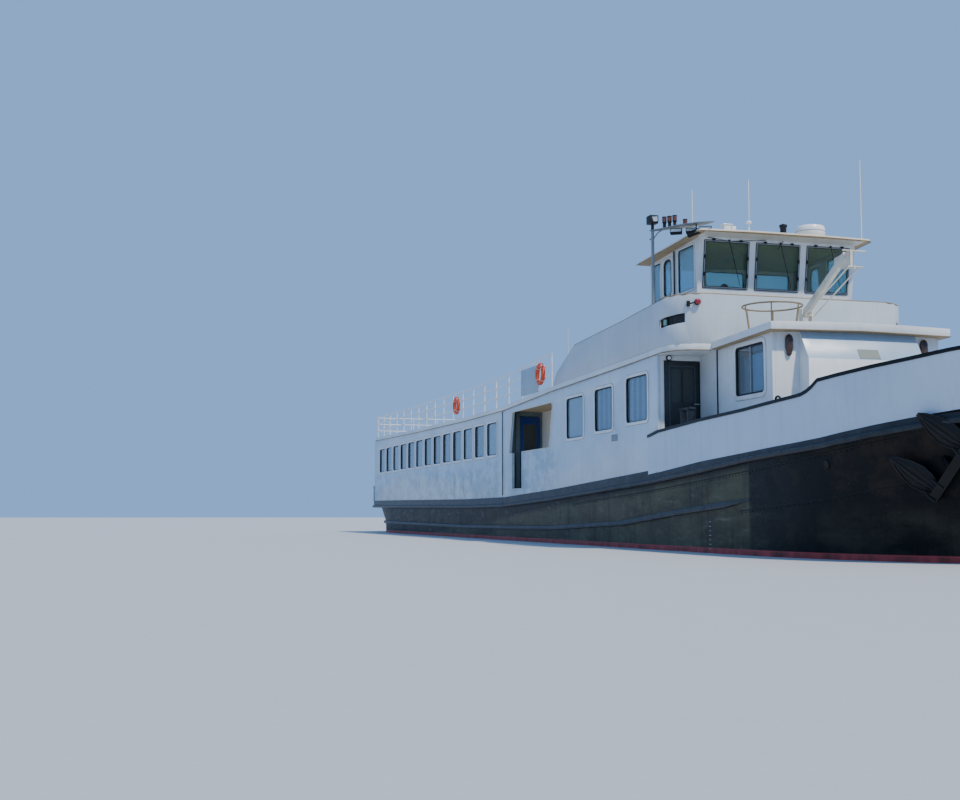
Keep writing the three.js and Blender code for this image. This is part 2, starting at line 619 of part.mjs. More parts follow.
function upperDeck() {
  return loft(slabStations.map((x) => {
    const h = slabHalf(x);
    return [[x, -h, seamZ(x)], [x, -h, slabTop(x)], [x, 0, slabTop(x)], [x, h, slabTop(x)], [x, h, seamZ(x)],
      [x, 0, seamZ(x)]];
  }));
}
const deckSlab = upperDeck();
add('upper_deck', deckSlab, finish.roofWhite);

// Bridge screen: a bulwark that climbs along each side and wraps the bridge front
// x | top z on the straight sides
const screenTop = [[2600, 2420], [2750, 2560], [3550, 2895], [5350, 2980], [6600, 3060]];
const screenThick = 26;
// Slot round each corner of the screen, for the side light behind it
const slot = { high: 115, fromZ: 2712, toZ: 2760, turn: THREE.MathUtils.degToRad(58) };
function lampSlot(side) {
  const r = bridgeCornerR;
  const path = range(0, 1, 6).map((t) => {
    const a = slot.turn * t;
    return [bridgeForeX - r + r * Math.sin(a), side * (halfBeam + edgeLip - r + r * Math.cos(a)),
      slot.fromZ + (slot.toZ - slot.fromZ) * t];
  });
  const section = [[-60, 0], [40, 0], [40, slot.high], [-60, slot.high]];
  return sweep(path, () => section.map(([out, up]) => [-side * out, up]));
}
function bridgeScreen() {
  const side = screenTop.map(([x, z]) => ({ x, y: -halfBeam - edgeLip, top: z }));
  const corner = range(0, 1, 4).slice(1).map((t) => {
    const a = t * Math.PI / 2;
    return { x: bridgeForeX - bridgeCornerR + bridgeCornerR * Math.sin(a),
      y: -halfBeam - edgeLip + bridgeCornerR * (1 - Math.cos(a)), top: 3080 + 30 * t };
  });
  const stbd = [...side, ...corner];
  const all = [...stbd, ...stbd.map((p) => ({ ...p, y: -p.y })).reverse()];
  const path = all.map((p) => [p.x, p.y, slabTop(p.x) + fit, p.top]);
  const wall = sweep(path, (p) => [[-screenThick, 0], [0, 0], [0, p[3] - p[2]], [-screenThick, p[3] - p[2]]]);
  return cut(wall, ...sides.map(([, side]) => lampSlot(side)));
}
add('bridge_screen', bridgeScreen(), finish.shipWhite);

// Wheelhouse: four walls, two side doors, glass, console and roof
const wh = {
  aftX: 5060, foreX: 6500, half: 1100, wall: 34, sillZ: 3285, headZ: 3868, aftTopZ: 3832, roofSlope: 0.055,
};
const whTop = (x) => wh.aftTopZ + (x - wh.aftX) * wh.roofSlope;
const rake = THREE.MathUtils.degToRad(8);
const rakeFromZ = 3150;
const rakeX = (z) => wh.foreX + Math.max(0, z - rakeFromZ) * Math.tan(rake);
const whDoor = { x0: 5460, x1: 5790, z0: 2500, z1: 3822, thick: 26 };
const whFrontTopX = rakeX(whTop(wh.foreX)) - wh.wall;
const whFloor = (x) => slabTop(x) + fit;
for (const [tag, side] of sides) {
  const x0 = wh.aftX;
  const shape = outline([...edge(whFloor, x0, wh.foreX - wh.wall, 0),
    [wh.foreX - wh.wall, rakeFromZ], [whFrontTopX, whTop(whFrontTopX)], [x0, whTop(x0)]]);
  shape.holes.push(windowHole(5140, 5400, wh.sillZ, whTop(5140) - 36, 40));
  shape.holes.push(windowHole(whDoor.x0, whDoor.x1, whDoor.z0, whDoor.z1, 0));
  shape.holes.push(windowHole(5960, 6440, wh.sillZ, whTop(5960) - 36, 40));
  add(`wheelhouse_side_${tag}`, sidePanel(shape, side, wh.half, wh.wall), finish.shipWhite);
  const [dx0, dx1] = [whDoor.x0 + doorGap, whDoor.x1 - doorGap];
  const [dz0, dz1] = [whDoor.z0 + doorGap, whDoor.z1 - doorGap];
  const door = outline([[dx0, dz0], [dx1, dz0], [dx1, dz1], [dx0, dz1]]);
  door.holes.push(windowHole(whDoor.x0 + 55, whDoor.x1 - 55, wh.sillZ + 20, whDoor.z1 - 40, 70));
  const outerY = wh.half + doorLead;
  const leaf = join(sidePanel(door, side, outerY, whDoor.thick), ...knuckles(dx0, side * outerY, dz0, dz1));
  add(`wheelhouse_door_${tag}`, leaf, finish.shipWhite);
}

const frontWindowWide = 610;
const frontWindowPitch = 720;
function wheelhouseFront() {
  const lower = box(wh.foreX - wh.wall + fit, wh.foreX, -wh.half, wh.half, whFloor(wh.foreX), rakeFromZ);
  const high = (whTop(wh.foreX) + 60 - rakeFromZ) / Math.cos(rake);
  const shape = outline([[-wh.half, -4], [wh.half, -4], [wh.half, high], [-wh.half, high]]);
  for (const i of [-1, 0, 1]) {
    const y = i * frontWindowPitch;
    shape.holes.push(windowHole(y - frontWindowWide / 2, y + frontWindowWide / 2, wh.sillZ - rakeFromZ,
      (wh.headZ - rakeFromZ) / Math.cos(rake), 22));
  }
  const pane = crossPanel(shape, -wh.wall + fit, wh.wall - fit);
  pane.rotateY(rake).translate(wh.foreX, 0, rakeFromZ);
  const aboveRoof = outline([[6000, whTop(6000)], [7000, whTop(7000)], [7000, 4300], [6000, 4300]]);
  return cut(join(lower, pane), sidePanel(aboveRoof, 1, 1200, 2400));
}
add('wheelhouse_front', wheelhouseFront(), finish.shipWhite);

function wheelhouseAft() {
  const y = wh.half - wh.wall - fit;
  const low = whFloor(wh.aftX + wh.wall);
  const shape = outline([[-y, low], [y, low], [y, wh.aftTopZ], [-y, wh.aftTopZ]]);
  const head = wh.aftTopZ - 50;
  for (const i of [-1, 0, 1]) shape.holes.push(windowHole(i * 700 - 290, i * 700 + 290, wh.sillZ, head, 40));
  return crossPanel(shape, wh.aftX, wh.wall);
}
add('wheelhouse_aft', wheelhouseAft(), finish.shipWhite);

function wheelhouseGlass() {
  const high = (wh.headZ - rakeFromZ) / Math.cos(rake) + 30;
  const y = wh.half - wh.wall - 4;
  const low = wh.sillZ - rakeFromZ - 30;
  const shape = outline([[-y, low], [y, low], [y, high], [-y, high]]);
  const pane = crossPanel(shape, -wh.wall - 8, 8);
  return pane.rotateY(rake).translate(wh.foreX, 0, rakeFromZ);
}
add('wheelhouse_glass', wheelhouseGlass(), finish.glass);

function helmConsole() {
  const desk = outline([[5950, whFloor(5950)], [6420, whFloor(6420)], [6420, 3180], [6240, 3230],
    [5950, 3080]]);
  return sidePanel(desk, 1, 800, 1600);
}
add('helm_console', helmConsole(), finish.doorDark);

// The roof is a thin slab that climbs towards the bow
const roof = { aftX: 4990, foreX: 6840, half: 1280, thick: 28 };
const roofPitch = Math.atan(wh.roofSlope);
function wheelhouseRoof() {
  const shape = outline([[roof.aftX, -roof.half, 60], [roof.foreX, -roof.half + 70, 60],
    [roof.foreX + 40, -500], [roof.foreX + 40, 500], [roof.foreX, roof.half - 70, 60], [roof.aftX, roof.half, 60]]);
  const slab = new THREE.ExtrudeGeometry(shape, { depth: roof.thick, bevelEnabled: false });
  return slab.translate(-wh.aftX, 0, 0).rotateY(-roofPitch).translate(wh.aftX, 0, wh.aftTopZ + fit);
}
const roofTop = (x) => whTop(x) + roof.thick + fit;
// Whip aerials standing on the roof: x | y | z of the tip
const whips = [[6650, 1180, 5050], [5600, 120, 4970], [5600, -720, 4770]].map(([x, y, z]) => join(
  bar([x, y, roofTop(x) - 20], [x, y, roofTop(x) + 60], 18, 8),
  bar([x, y, roofTop(x) + 50], [x, y, z], 7, 6),
));
const roofSlab = wheelhouseRoof();
add('wheelhouse_roof', join(roofSlab, ...whips), finish.roofWhite);

// Roof gear
const radomeAt = { x: 6570, y: 480 };
function radome() {
  const section = [[0, -20], [80, -20], [80, 36], [150, 42], [180, 66], [188, 96], [188, 152], [172, 186],
    [118, 202], [0, 208]];
  const dome = new THREE.LatheGeometry(section.map((p) => new THREE.Vector2(...p)), 24).rotateX(Math.PI / 2);
  return seat(dome.translate(radomeAt.x, radomeAt.y, roofTop(radomeAt.x)), roofSlab);
}
add('radome', radome(), finish.plastic);
const searchlightAt = { x: 6600, y: 75 };
function searchlight() {
  const { x, y } = searchlightAt;
  const z = roofTop(x);
  return seat(join(
    box(x - 40, x + 40, y - 30, y + 30, z - 10, z + 16),
    bar([x, y, z + 10], [x, y, z + 60], 15, 8),
    bar([x, y, z + 55], [x, y, z + 165], 40, 16),
    bar([x, y, z + 150], [x, y, z + 182], 50, 16),
  ), roofSlab);
}
add('searchlight', searchlight(), finish.lampBlack);

// Fore deck house, with a front whose middle leans out
const fh = { foreX: 8350, half: 1075, wall: 36, camber: 22, aftTopZ: 2426, roofSlope: 0.031 };
const fhWallTop = (x) => fh.aftTopZ + (x - bridgeForeX) * fh.roofSlope;
const fhTop = (x, y) => fhWallTop(x) + fh.camber * (1 - (y / fh.half) ** 2);
for (const [tag, side] of sides) {
  const from = houseForeX + fit;
  const step = bridgeForeX + fit;
  const shape = outline([...edge(foredeckZ, from, fh.foreX, fit), [fh.foreX, fhWallTop(fh.foreX)],
    [step, fhWallTop(step)], [step, seamZ(step) - fit], [from, seamZ(from) - fit]]);
  shape.holes.push(windowHole(7465, 8160, 1808, 2388, 50));
  add(`forehouse_side_${tag}`, sidePanel(shape, side, fh.half, fh.wall), finish.shipWhite);
}
const fhRoof = { aftX: bridgeForeX + fit, foreX: 8475, half: 1150, thick: 96 };
function forehouseRoof() {
  const ring = (x) => {
    const ys = range(-fhRoof.half, fhRoof.half, 8);
    const under = (v) => fhWallTop(x) + fh.camber * Math.max(0, 1 - (v / fh.half) ** 2) + fit;
    return [...ys.map((v) => [x, v, under(v)]), ...ys.reverse().map((v) => [x, v, under(v) + fhRoof.thick])];
  };
  return loft([ring(fhRoof.aftX), ring(fhRoof.foreX)]);
}
const foreRoof = forehouseRoof();
add('forehouse_roof', foreRoof, finish.roofWhite);

function forehouseFront() {
  const y = fh.half - fh.wall - fit;
  const z0 = foredeckZ(fh.foreX) + fit;
  const arch = range(y, -y, 8).map((v) => [v, fhTop(fh.foreX, v)]);
  const flat = crossPanel(outline([[-y, z0], [y, z0], ...arch]), fh.foreX - fh.wall, fh.wall);
  const bayHalf = 740;
  const bayTopZ = fhWallTop(fh.foreX) + fh.camber;
  const bay = sidePanel(outline([[fh.foreX - 10, z0], [fh.foreX + 210, foredeckZ(fh.foreX + 210) + fit],
    [fh.foreX + 210, 2160], [fh.foreX + 20, bayTopZ], [fh.foreX - 10, bayTopZ]]), 1, bayHalf, 2 * bayHalf);
  return cut(join(flat, bay), foreRoof.clone().translate(0, 0, -fit));
}
add('forehouse_front', forehouseFront(), finish.shipWhite);

// Guard ring on the fore deck house roof
const guardAt = { x: 7650, y: -680, r: 350, footR: 300, z: 2876 };
function guardRing() {
  const circle = (r, z) => {
    const ring = new THREE.TorusGeometry(r, 11, 6, 24);
    return ring.translate(guardAt.x, guardAt.y, z);
  };
  const legs = range(0, 5, 5).map((i) => {
    const a = (i + 0.5) * Math.PI / 3;
    const [c, s] = [Math.cos(a), Math.sin(a)];
    const foot = [guardAt.x + guardAt.footR * c, guardAt.y + guardAt.footR * s];
    const head = [guardAt.x + guardAt.r * c, guardAt.y + guardAt.r * s, guardAt.z];
    return bar([...foot, fhTop(...foot) + fhRoof.thick - 10], head, 9, 6);
  });
  return seat(join(circle(guardAt.r, guardAt.z), ...legs), foreRoof);
}
add('guard_ring', guardRing(), finish.steel);

// Folding mast on its foot
const pivot = { x: 7236, z: 2889 };
const mastLean = THREE.MathUtils.degToRad(30);
function mastFoot() {
  const base = fhTop(pivot.x, 0) + fhRoof.thick;
  return seat(join(
    box(pivot.x - 90, pivot.x + 90, -90, 90, base - 10, base + 16),
    box(pivot.x - 45, pivot.x + 45, -72, -60, base + 15, pivot.z + 45),
    box(pivot.x - 45, pivot.x + 45, 60, 72, base + 15, pivot.z + 45),
  ), foreRoof);
}
add('mast_foot', mastFoot(), finish.capBlack);
// It broadens into an upright plate, with a cross bar on its top. Two rods run from its heel to a low bar
const mastHead = [
  [7930, 3345], [7935, 3432], [8285, 3468], [8285, 3275], [8345, 3275], [8345, 3240], [8120, 3270],
];
function foldingMast() {
  const rod = { y: 66, heelX: 60, heelZ: -85, tipX: 1130, tipZ: -225, r: 9 };
  const beam = join(
    box(-40, 1080, -27, 27, -42, 42),
    bar([0, -60 + fit, 0], [0, 60 - fit, 0], 20, 10),
    bar([rod.heelX, -rod.y, rod.heelZ], [rod.heelX, rod.y, rod.heelZ], 10, 6),
    box(rod.heelX - 10, rod.heelX + 12, -18, 18, rod.heelZ - 4, -20),
    ...[-rod.y, rod.y].map((y) => bar([rod.heelX, y, rod.heelZ], [rod.tipX, y, rod.tipZ], rod.r, 6)),
    bar([rod.tipX, -78, rod.tipZ], [rod.tipX, 130, rod.tipZ], 10, 6),
  );
  beam.rotateY(-mastLean).translate(pivot.x, 0, pivot.z);
  const [, , [topX, topZ]] = mastHead;
  return join(beam, sidePanel(outline(mastHead), 1, 14, 28),
    bar([topX - 12, -110, topZ - 8], [topX - 12, 190, topZ - 8], 10, 6));
}
add('folding_mast', foldingMast(), finish.steel);

// Light post beside the wheelhouse: its arm is a flat plate that reaches in over the roof
const post = { x: 6200, y: -1560, topZ: 4045, r: 20 };
const arm = { endX: 6890, endY: -1040, thick: 12 };
function lightPost() {
  const foot = slabTop(post.x) + fit;
  const along = (t, aside = 0) => [post.x + (arm.endX - post.x) * t + aside * 0.6,
    post.y + (arm.endY - post.y) * t - aside * 0.8];
  // Arm's plan: how far along | half width
  const plan = [[-0.04, 24], [0.25, 60], [0.45, 105], [0.8, 90], [1, 14]];
  const shape = outline([...plan.map(([t, half]) => along(t, half)),
    ...plan.map(([t, half]) => along(t, -half)).reverse()]);
  const plateArm = new THREE.ExtrudeGeometry(shape, { depth: arm.thick, bevelEnabled: false });
  const lamps = [0.2, 0.285, 0.37, 0.54].map((t, i) => {
    const [x, y] = along(t);
    return bar([x, y, post.topZ], [x, y, post.topZ + (i < 3 ? 140 : 70)], 21, 10);
  });
  return seat(join(
    bar([post.x, post.y, foot + 4], [post.x, post.y, post.topZ + 90], post.r, 10),
    box(post.x - 50, post.x + 50, post.y - 40, post.y + 40, foot - 10, foot + 10),
    plateArm.translate(0, 0, post.topZ - arm.thick), ...lamps,
    box(post.x - 70, post.x + 60, post.y - 55, post.y + 55, post.topZ + 80, post.topZ + 185),
  ), deckSlab);
}
add('light_post', lightPost(), finish.steel);

// Thin mast and railings of the upper deck
const deckMastX = -1350;
const deckMast = join(
  box(deckMastX - 50, deckMastX + 50, -50, 50, slabTop(deckMastX) - 10, slabTop(deckMastX) + 12),
  bar([deckMastX, 0, slabTop(deckMastX) + 8], [deckMastX, 0, 3880], 14, 8),
);
add('deck_mast', seat(deckMast, deckSlab), finish.steel);

const rail = { high: 525, rows: [185, 355, 513], pitch: 750, inset: 40, tube: 11 };
const railHalf = halfBeam + edgeLip - rail.inset;
for (const [tag, side] of sides) {
  const [from, to] = [-11050, 2450];
  const rows = rail.rows.map((up) => sweep(
    range(from, to, 9).map((x) => [x, side * railHalf, slabTop(x) + up]), rect(-rail.tube, rail.tube, -9, 9)));
  const posts = range(from + 15, to - 15, 18).map((x) => box(x - 12, x + 12, side * railHalf - 12,
    side * railHalf + 12, slabTop(x) - 4, slabTop(x) + rail.high));
  add(`railing_${tag}`, seat(join(...rows, ...posts), deckSlab), finish.plastic);
}
function railingAft() {
  const r = aftCornerR - rail.inset;
  const back = deckAftX + rail.inset;
  const corner = range(0, 1, 3).map((t) => {
    const a = t * Math.PI / 2;
    return [back + r - r * Math.sin(a), -(railHalf - r) - r * Math.cos(a)];
  });
  const stbd = [[-11062, -railHalf], ...corner];
  const plan = [...stbd, ...stbd.map(([x, y]) => [x, -y]).reverse()];
  const rows = rail.rows.map((up) => sweep(plan.map(([x, y]) => [x, y, slabTop(x) + up]),
    rect(-rail.tube, rail.tube, -9, 9)));
  const posts = [[-11078, -railHalf], ...range(-1250, 1250, 4).map((y) => [back, y]), [-11078, railHalf]]
    .map(([x, y]) => box(x - 12, x + 12, y - 12, y + 12, slabTop(x) - 4, slabTop(x) + rail.high));
  return seat(join(...rows, ...posts), deckSlab);
}
add('railing_aft', railingAft(), finish.plastic);

export default ship;
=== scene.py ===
import json
import math

import bpy
from mathutils import Matrix, Vector

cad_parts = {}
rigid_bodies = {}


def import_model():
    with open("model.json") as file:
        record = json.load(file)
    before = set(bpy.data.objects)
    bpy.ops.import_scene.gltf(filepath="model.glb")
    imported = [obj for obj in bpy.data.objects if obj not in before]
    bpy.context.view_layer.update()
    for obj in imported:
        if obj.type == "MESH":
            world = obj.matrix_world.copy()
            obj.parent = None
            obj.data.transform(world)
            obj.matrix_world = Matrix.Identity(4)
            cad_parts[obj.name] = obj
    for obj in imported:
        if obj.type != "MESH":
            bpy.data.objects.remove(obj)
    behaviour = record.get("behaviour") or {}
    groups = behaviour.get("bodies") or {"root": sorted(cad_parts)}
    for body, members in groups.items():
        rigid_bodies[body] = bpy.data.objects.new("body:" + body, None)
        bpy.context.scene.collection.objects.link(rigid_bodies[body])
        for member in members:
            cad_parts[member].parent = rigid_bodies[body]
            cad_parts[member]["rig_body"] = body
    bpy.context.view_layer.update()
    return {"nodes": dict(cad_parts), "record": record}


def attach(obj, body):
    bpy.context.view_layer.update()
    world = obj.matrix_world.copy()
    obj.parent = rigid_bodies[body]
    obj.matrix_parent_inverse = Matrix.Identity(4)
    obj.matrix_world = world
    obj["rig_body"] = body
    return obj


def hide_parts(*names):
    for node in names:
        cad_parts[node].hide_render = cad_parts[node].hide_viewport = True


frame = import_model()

sides = {"stbd": -1, "port": 1}

# Camera of the photograph: low over the water, ahead of the starboard bow
cameraView = {"place": (21.3, -8.15, 0.428), "turn": 15.9, "pitch": 5.05, "lens": 48.75, "sensor": 36.0,
              "near": 0.1, "far": 400}


def setCamera(view):
    turn, pitch = math.radians(view["turn"]), math.radians(view["pitch"])
    look = Vector((-math.cos(turn) * math.cos(pitch), math.sin(turn) * math.cos(pitch), math.sin(pitch)))
    data = bpy.data.cameras.new("photoCamera")
    data.lens = view["lens"]
    data.sensor_width = view["sensor"]
    data.clip_start, data.clip_end = view["near"], view["far"]
    camera = bpy.data.objects.new("photoCamera", data)
    bpy.context.scene.collection.objects.link(camera)
    turned = look.to_track_quat("-Z", "Y").to_matrix().to_4x4()
    camera.matrix_world = Matrix.Translation(view["place"]) @ turned
    bpy.context.scene.camera = camera


setCamera(cameraView)
print("camera set")


# Small tools of the trade
def clearSelection():
    if bpy.context.object and bpy.context.object.mode != "OBJECT":
        bpy.ops.object.mode_set(mode="OBJECT")
    bpy.ops.object.select_all(action="DESELECT")


def pick(*chosen):
    clearSelection()
    for piece in chosen:
        piece.select_set(True)
    bpy.context.view_layer.objects.active = chosen[0]


def newest(name):
    bpy.context.object.name = name
    return bpy.context.object


def applyPlace(piece, place=None):
    if place is not None:
        piece.matrix_world = place
    pick(piece)
    bpy.ops.object.transform_apply(location=True, rotation=True, scale=True)
    return piece


def applyModifiers(piece):
    pick(piece)
    for modifier in list(piece.modifiers):
        bpy.ops.object.modifier_apply(modifier=modifier.name)


def smoothBy(piece, angle=35):
    pick(piece)
    bpy.ops.object.shade_smooth_by_angle(angle=math.radians(angle))
    return piece


def roundEdges(piece, width, segments=2, angle=35, sharp=30):
    bevel = piece.modifiers.new("edge", "BEVEL")
    bevel.width = width
    bevel.segments = segments
    bevel.limit_method = "ANGLE"
    bevel.angle_limit = math.radians(sharp)
    bevel.miter_outer = "MITER_ARC"
    applyModifiers(piece)
    return smoothBy(piece, angle)


def startBox(name, low, high):
    clearSelection()
    bpy.ops.mesh.primitive_cube_add(size=1, location=[(a + b) / 2 for a, b in zip(low, high)])
    piece = newest(name)
    piece.scale = [b - a for a, b in zip(low, high)]
    return applyPlace(piece)


# A box on one side of the ship, from its spans along, out from the middle line and up
def sideBox(name, side, along, out, up):
    near, far = sorted(side * y for y in out)
    return startBox(name, (along[0], near, up[0]), (along[1], far, up[1]))


def startBar(name, start, end, radius, sidesRound=16, endRadius=None):
    clearSelection()
    start, end = Vector(start), Vector(end)
    run = end - start
    bpy.ops.mesh.primitive_cone_add(vertices=sidesRound, radius1=radius, depth=run.length,
                                    radius2=radius if endRadius is None else endRadius,
                                    location=(start + end) / 2)
    piece = newest(name)
    piece.rotation_mode = "QUATERNION"
    piece.rotation_quaternion = run.to_track_quat("Z", "Y")
    return applyPlace(piece)


def startBall(name, middle, size, rings=12):
    clearSelection()
    bpy.ops.mesh.primitive_uv_sphere_add(segments=2 * rings, ring_count=rings, radius=0.5, location=middle)
    piece = newest(name)
    piece.scale = size
    return smoothBy(applyPlace(piece), 60)


def startRing(name, place, big, small, count=32):
    clearSelection()
    bpy.ops.mesh.primitive_torus_add(major_radius=big, minor_radius=small, major_segments=count,
                                     minor_segments=10)
    return smoothBy(applyPlace(newest(name), place), 60)


def pipeAlong(name, points, radius, closed=False, resolution=2):
    clearSelection()
    bpy.ops.curve.primitive_bezier_curve_add()
    curve = newest(name).data
    curve.splines.clear()
    spline = curve.splines.new("POLY")
    spline.points.add(len(points) - 1)
    for knot, point in zip(spline.points, points):
        knot.co = (*point, 1)
    spline.use_cyclic_u = closed
    curve.dimensions = "3D"
    curve.bevel_depth = radius
    curve.bevel_resolution = resolution
    curve.use_fill_caps = not closed
    bpy.ops.object.convert(target="MESH")
    return smoothBy(applyPlace(newest(name)), 50)


# A copy on the other side of the ship, its faces turned outwards again
def mirrorPiece(piece, name):
    twin = piece.copy()
    twin.data = piece.data.copy()
    bpy.context.scene.collection.objects.link(twin)
    twin.name = name
    twin.scale.y = -1
    applyPlace(twin)
    bpy.ops.object.mode_set(mode="EDIT")
    bpy.ops.mesh.select_all(action="SELECT")
    bpy.ops.mesh.normals_make_consistent(inside=False)
    bpy.ops.object.mode_set(mode="OBJECT")
    return twin


def joinPieces(name, pieces):
    pick(*pieces)
    if len(pieces) > 1:
        bpy.ops.object.join()
    return newest(name)


def coat(piece, *materials):
    piece.data.materials.clear()
    for material in materials:
        piece.data.materials.append(material)
    return piece


def finishPiece(piece, body, slot, *nodes):
    applyPlace(piece)
    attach(piece, body)
    if nodes:
        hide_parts(*nodes)
    return piece


# Parts that share a material become one piece
def addPart(name, parts, material, slot, body="root", *nodes):
    return finishPiece(coat(joinPieces(name, parts), material), body, slot, *nodes)


# Frames that turn a flat drawing (x right, y up, z out) to face a side of the ship
def facing(way, place, lean=0):
    right = {"stbd": (1, 0, 0), "port": (-1, 0, 0), "fore": (0, 1, 0), "aft": (0, -1, 0)}[way]
    right = Vector(right)
    out = right.cross(Vector((0, 0, 1)))
    turn = Matrix((right, (0, 0, 1), out)).transposed().to_4x4()
    return Matrix.Translation(place) @ turn @ Matrix.Rotation(math.radians(lean), 4, "X")


def roundOutline(name, wide, high, radius, steps):
    clearSelection()
    bpy.ops.mesh.primitive_plane_add(size=1)
    piece = newest(name)
    piece.scale = (wide, high, 1)
    applyPlace(piece)
    bpy.ops.object.mode_set(mode="EDIT")
    bpy.ops.mesh.select_all(action="SELECT")
    bpy.ops.mesh.bevel(offset=radius, offset_type="OFFSET", segments=steps, affect="VERTICES")
    return piece


def thicken(piece, thick, place):
    bpy.ops.object.mode_set(mode="OBJECT")
    solid = piece.modifiers.new("thick", "SOLIDIFY")
    solid.thickness = thick
    solid.offset = 1
    applyModifiers(piece)
    return applyPlace(piece, place)


def roundPlate(name, wide, high, radius, thick, place, steps=4):
    return thicken(roundOutline(name, wide, high, radius, steps), thick, place)


def roundRing(name, wide, high, radius, band, thick, place, edge=0.003, steps=4):
    piece = roundOutline(name, wide, high, radius, steps)
    bpy.ops.mesh.select_mode(type="FACE")
    bpy.ops.mesh.select_all(action="SELECT")
    bpy.ops.mesh.inset(thickness=band, depth=0)
    bpy.ops.mesh.delete(type="FACE")
    thicken(piece, thick, place)
    return roundEdges(piece, edge) if edge else piece


# Materials, procedural and in metres of the model
def hexColor(code):
    channels = [int(code[i:i + 2], 16) / 255 for i in (1, 3, 5)]
    return [c / 12.92 if c <= 0.04045 else ((c + 0.055) / 1.055) ** 2.4 for c in channels] + [1]


def addNode(tree, kind, inputs=None, **settings):
    node = tree.nodes.new("ShaderNode" + kind)
    for name, value in settings.items():
        setattr(node, name, value)
    for key, value in (inputs or {}).items():
        if isinstance(value, bpy.types.NodeSocket):
            tree.links.new(value, node.inputs[key])
        else:
            node.inputs[key].default_value = value
    return node.outputs


def addNoise(tree, place, scale, detail, ragged=0.65):
    return addNode(tree, "TexNoise", {"Vector": place, "Scale": scale, "Detail": detail,
                                      "Roughness": ragged})[0]


# Low up to the start, high from the end on and straight between
def addRange(tree, value, start, end, low=0.0, high=1.0):
    return addNode(tree, "MapRange", {"Value": value, "From Min": start, "From Max": end, "To Min": low,
                                      "To Max": high})[0]


def addMix(tree, amount, color, code):
    return addNode(tree, "Mix", {0: amount, 6: color, 7: hexColor(code)}, data_type="RGBA")[2]


def startMaterial(name, **sockets):
    material = bpy.data.materials.new(name)
    material.use_nodes = True
    tree = material.node_tree
    surface = tree.nodes["Principled BSDF"].inputs
    for socket, value in sockets.items():
        surface[socket.replace("_", " ")].default_value = value
    return material, tree, surface, addNode(tree, "TexCoord")["Object"]


# A coat has a base colour and layers of wear. Each layer has a colour, a strength, a noise with its scale and
# stretch that shows between two values, and zones: a direction, where it starts and where it is full
def makeCoat(name, look):
    material, tree, surface, place = startMaterial(
        name, Metallic=look.get("metallic", 0), Specular_IOR_Level=look.get("shine", 0.5),
        Coat_Weight=look.get("varnish", 0))
    color = hexColor(look["base"])
    for order, layer in enumerate(look["wear"]):
        amount = layer["strength"]
        if "scale" in layer:
            moved = addNode(tree, "Mapping", {"Vector": place, "Scale": layer.get("stretch", (1, 1, 1)),
                                              "Location": (3 * order, order, 7 * order)})[0]
            noise = addNoise(tree, moved, layer["scale"], 8, layer.get("ragged", 0.65))
            amount = addRange(tree, noise, layer["from"], layer["to"], 0, amount)
        for way, start, full in layer.get("zones", ()):
            along = addNode(tree, "VectorMath", {0: place, 1: way}, operation="DOT_PRODUCT")["Value"]
            inside = addRange(tree, along, start, full)
            amount = addNode(tree, "Math", {0: inside, 1: amount}, operation="MULTIPLY")[0]
        color = addMix(tree, amount, color, layer["color"])
    tree.links.new(color, surface["Base Color"])
    grain, depth = look.get("grain", (40, 0.001))
    fine = addNoise(tree, place, grain, 5)
    rough = addRange(tree, fine, 0.3, 0.7, *look.get("rough", (0.3, 0.45)))
    tree.links.new(rough, surface["Roughness"])
    bump = addNode(tree, "Bump", {"Height": fine, "Distance": depth, "Strength": 0.7})[0]
    if "dents" in look:
        wide, deep = look["dents"]
        sway = addNoise(tree, place, wide, 2, 0.4)
        bump = addNode(tree, "Bump", {"Height": sway, "Distance": deep, "Normal": bump})[0]
    tree.links.new(bump, surface["Normal"])
    return material


# One plain coat: fresh colour, worn colour and how much of it shows, in patches of 0.2 m and specks of 30 mm
def plainCoat(name, fresh, worn, amount=0.5, **look):
    wear = [{"color": worn, "strength": amount, "scale": 5, "from": 0.42, "to": 0.7},
            {"color": worn, "strength": amount, "scale": 34, "from": 0.58, "to": 0.75}]
    return makeCoat(name, {"base": fresh, "wear": wear, **look})


# Float glass, smooth and slightly wavy, so what it mirrors bends a little
def makeGlass(name, tint, clear, bend):
    material, tree, surface, place = startMaterial(name, Base_Color=hexColor(tint), Roughness=0.02,
                                                   Transmission_Weight=clear, IOR=bend)
    ripple = addNoise(tree, place, 2.5, 2, 0.4)
    tree.links.new(addNode(tree, "Bump", {"Height": ripple, "Distance": 0.002})[0], surface["Normal"])
    return material


# Net curtains behind the cabin windows: drawn cloth in folds, darker in the creases as painted shade, with
# the dark room in a gap at the sides of each pane as painted shade
curtainLook = {"cloth": "#dce9f0", "fold": "#98b3c6", "shade": "#1d242c", "first": -10.65, "pitch": 0.8,
               "wide": 0.62, "gap": 0.11, "gapEdge": 0.012, "foldWide": 0.055, "foldDeep": 0.012}


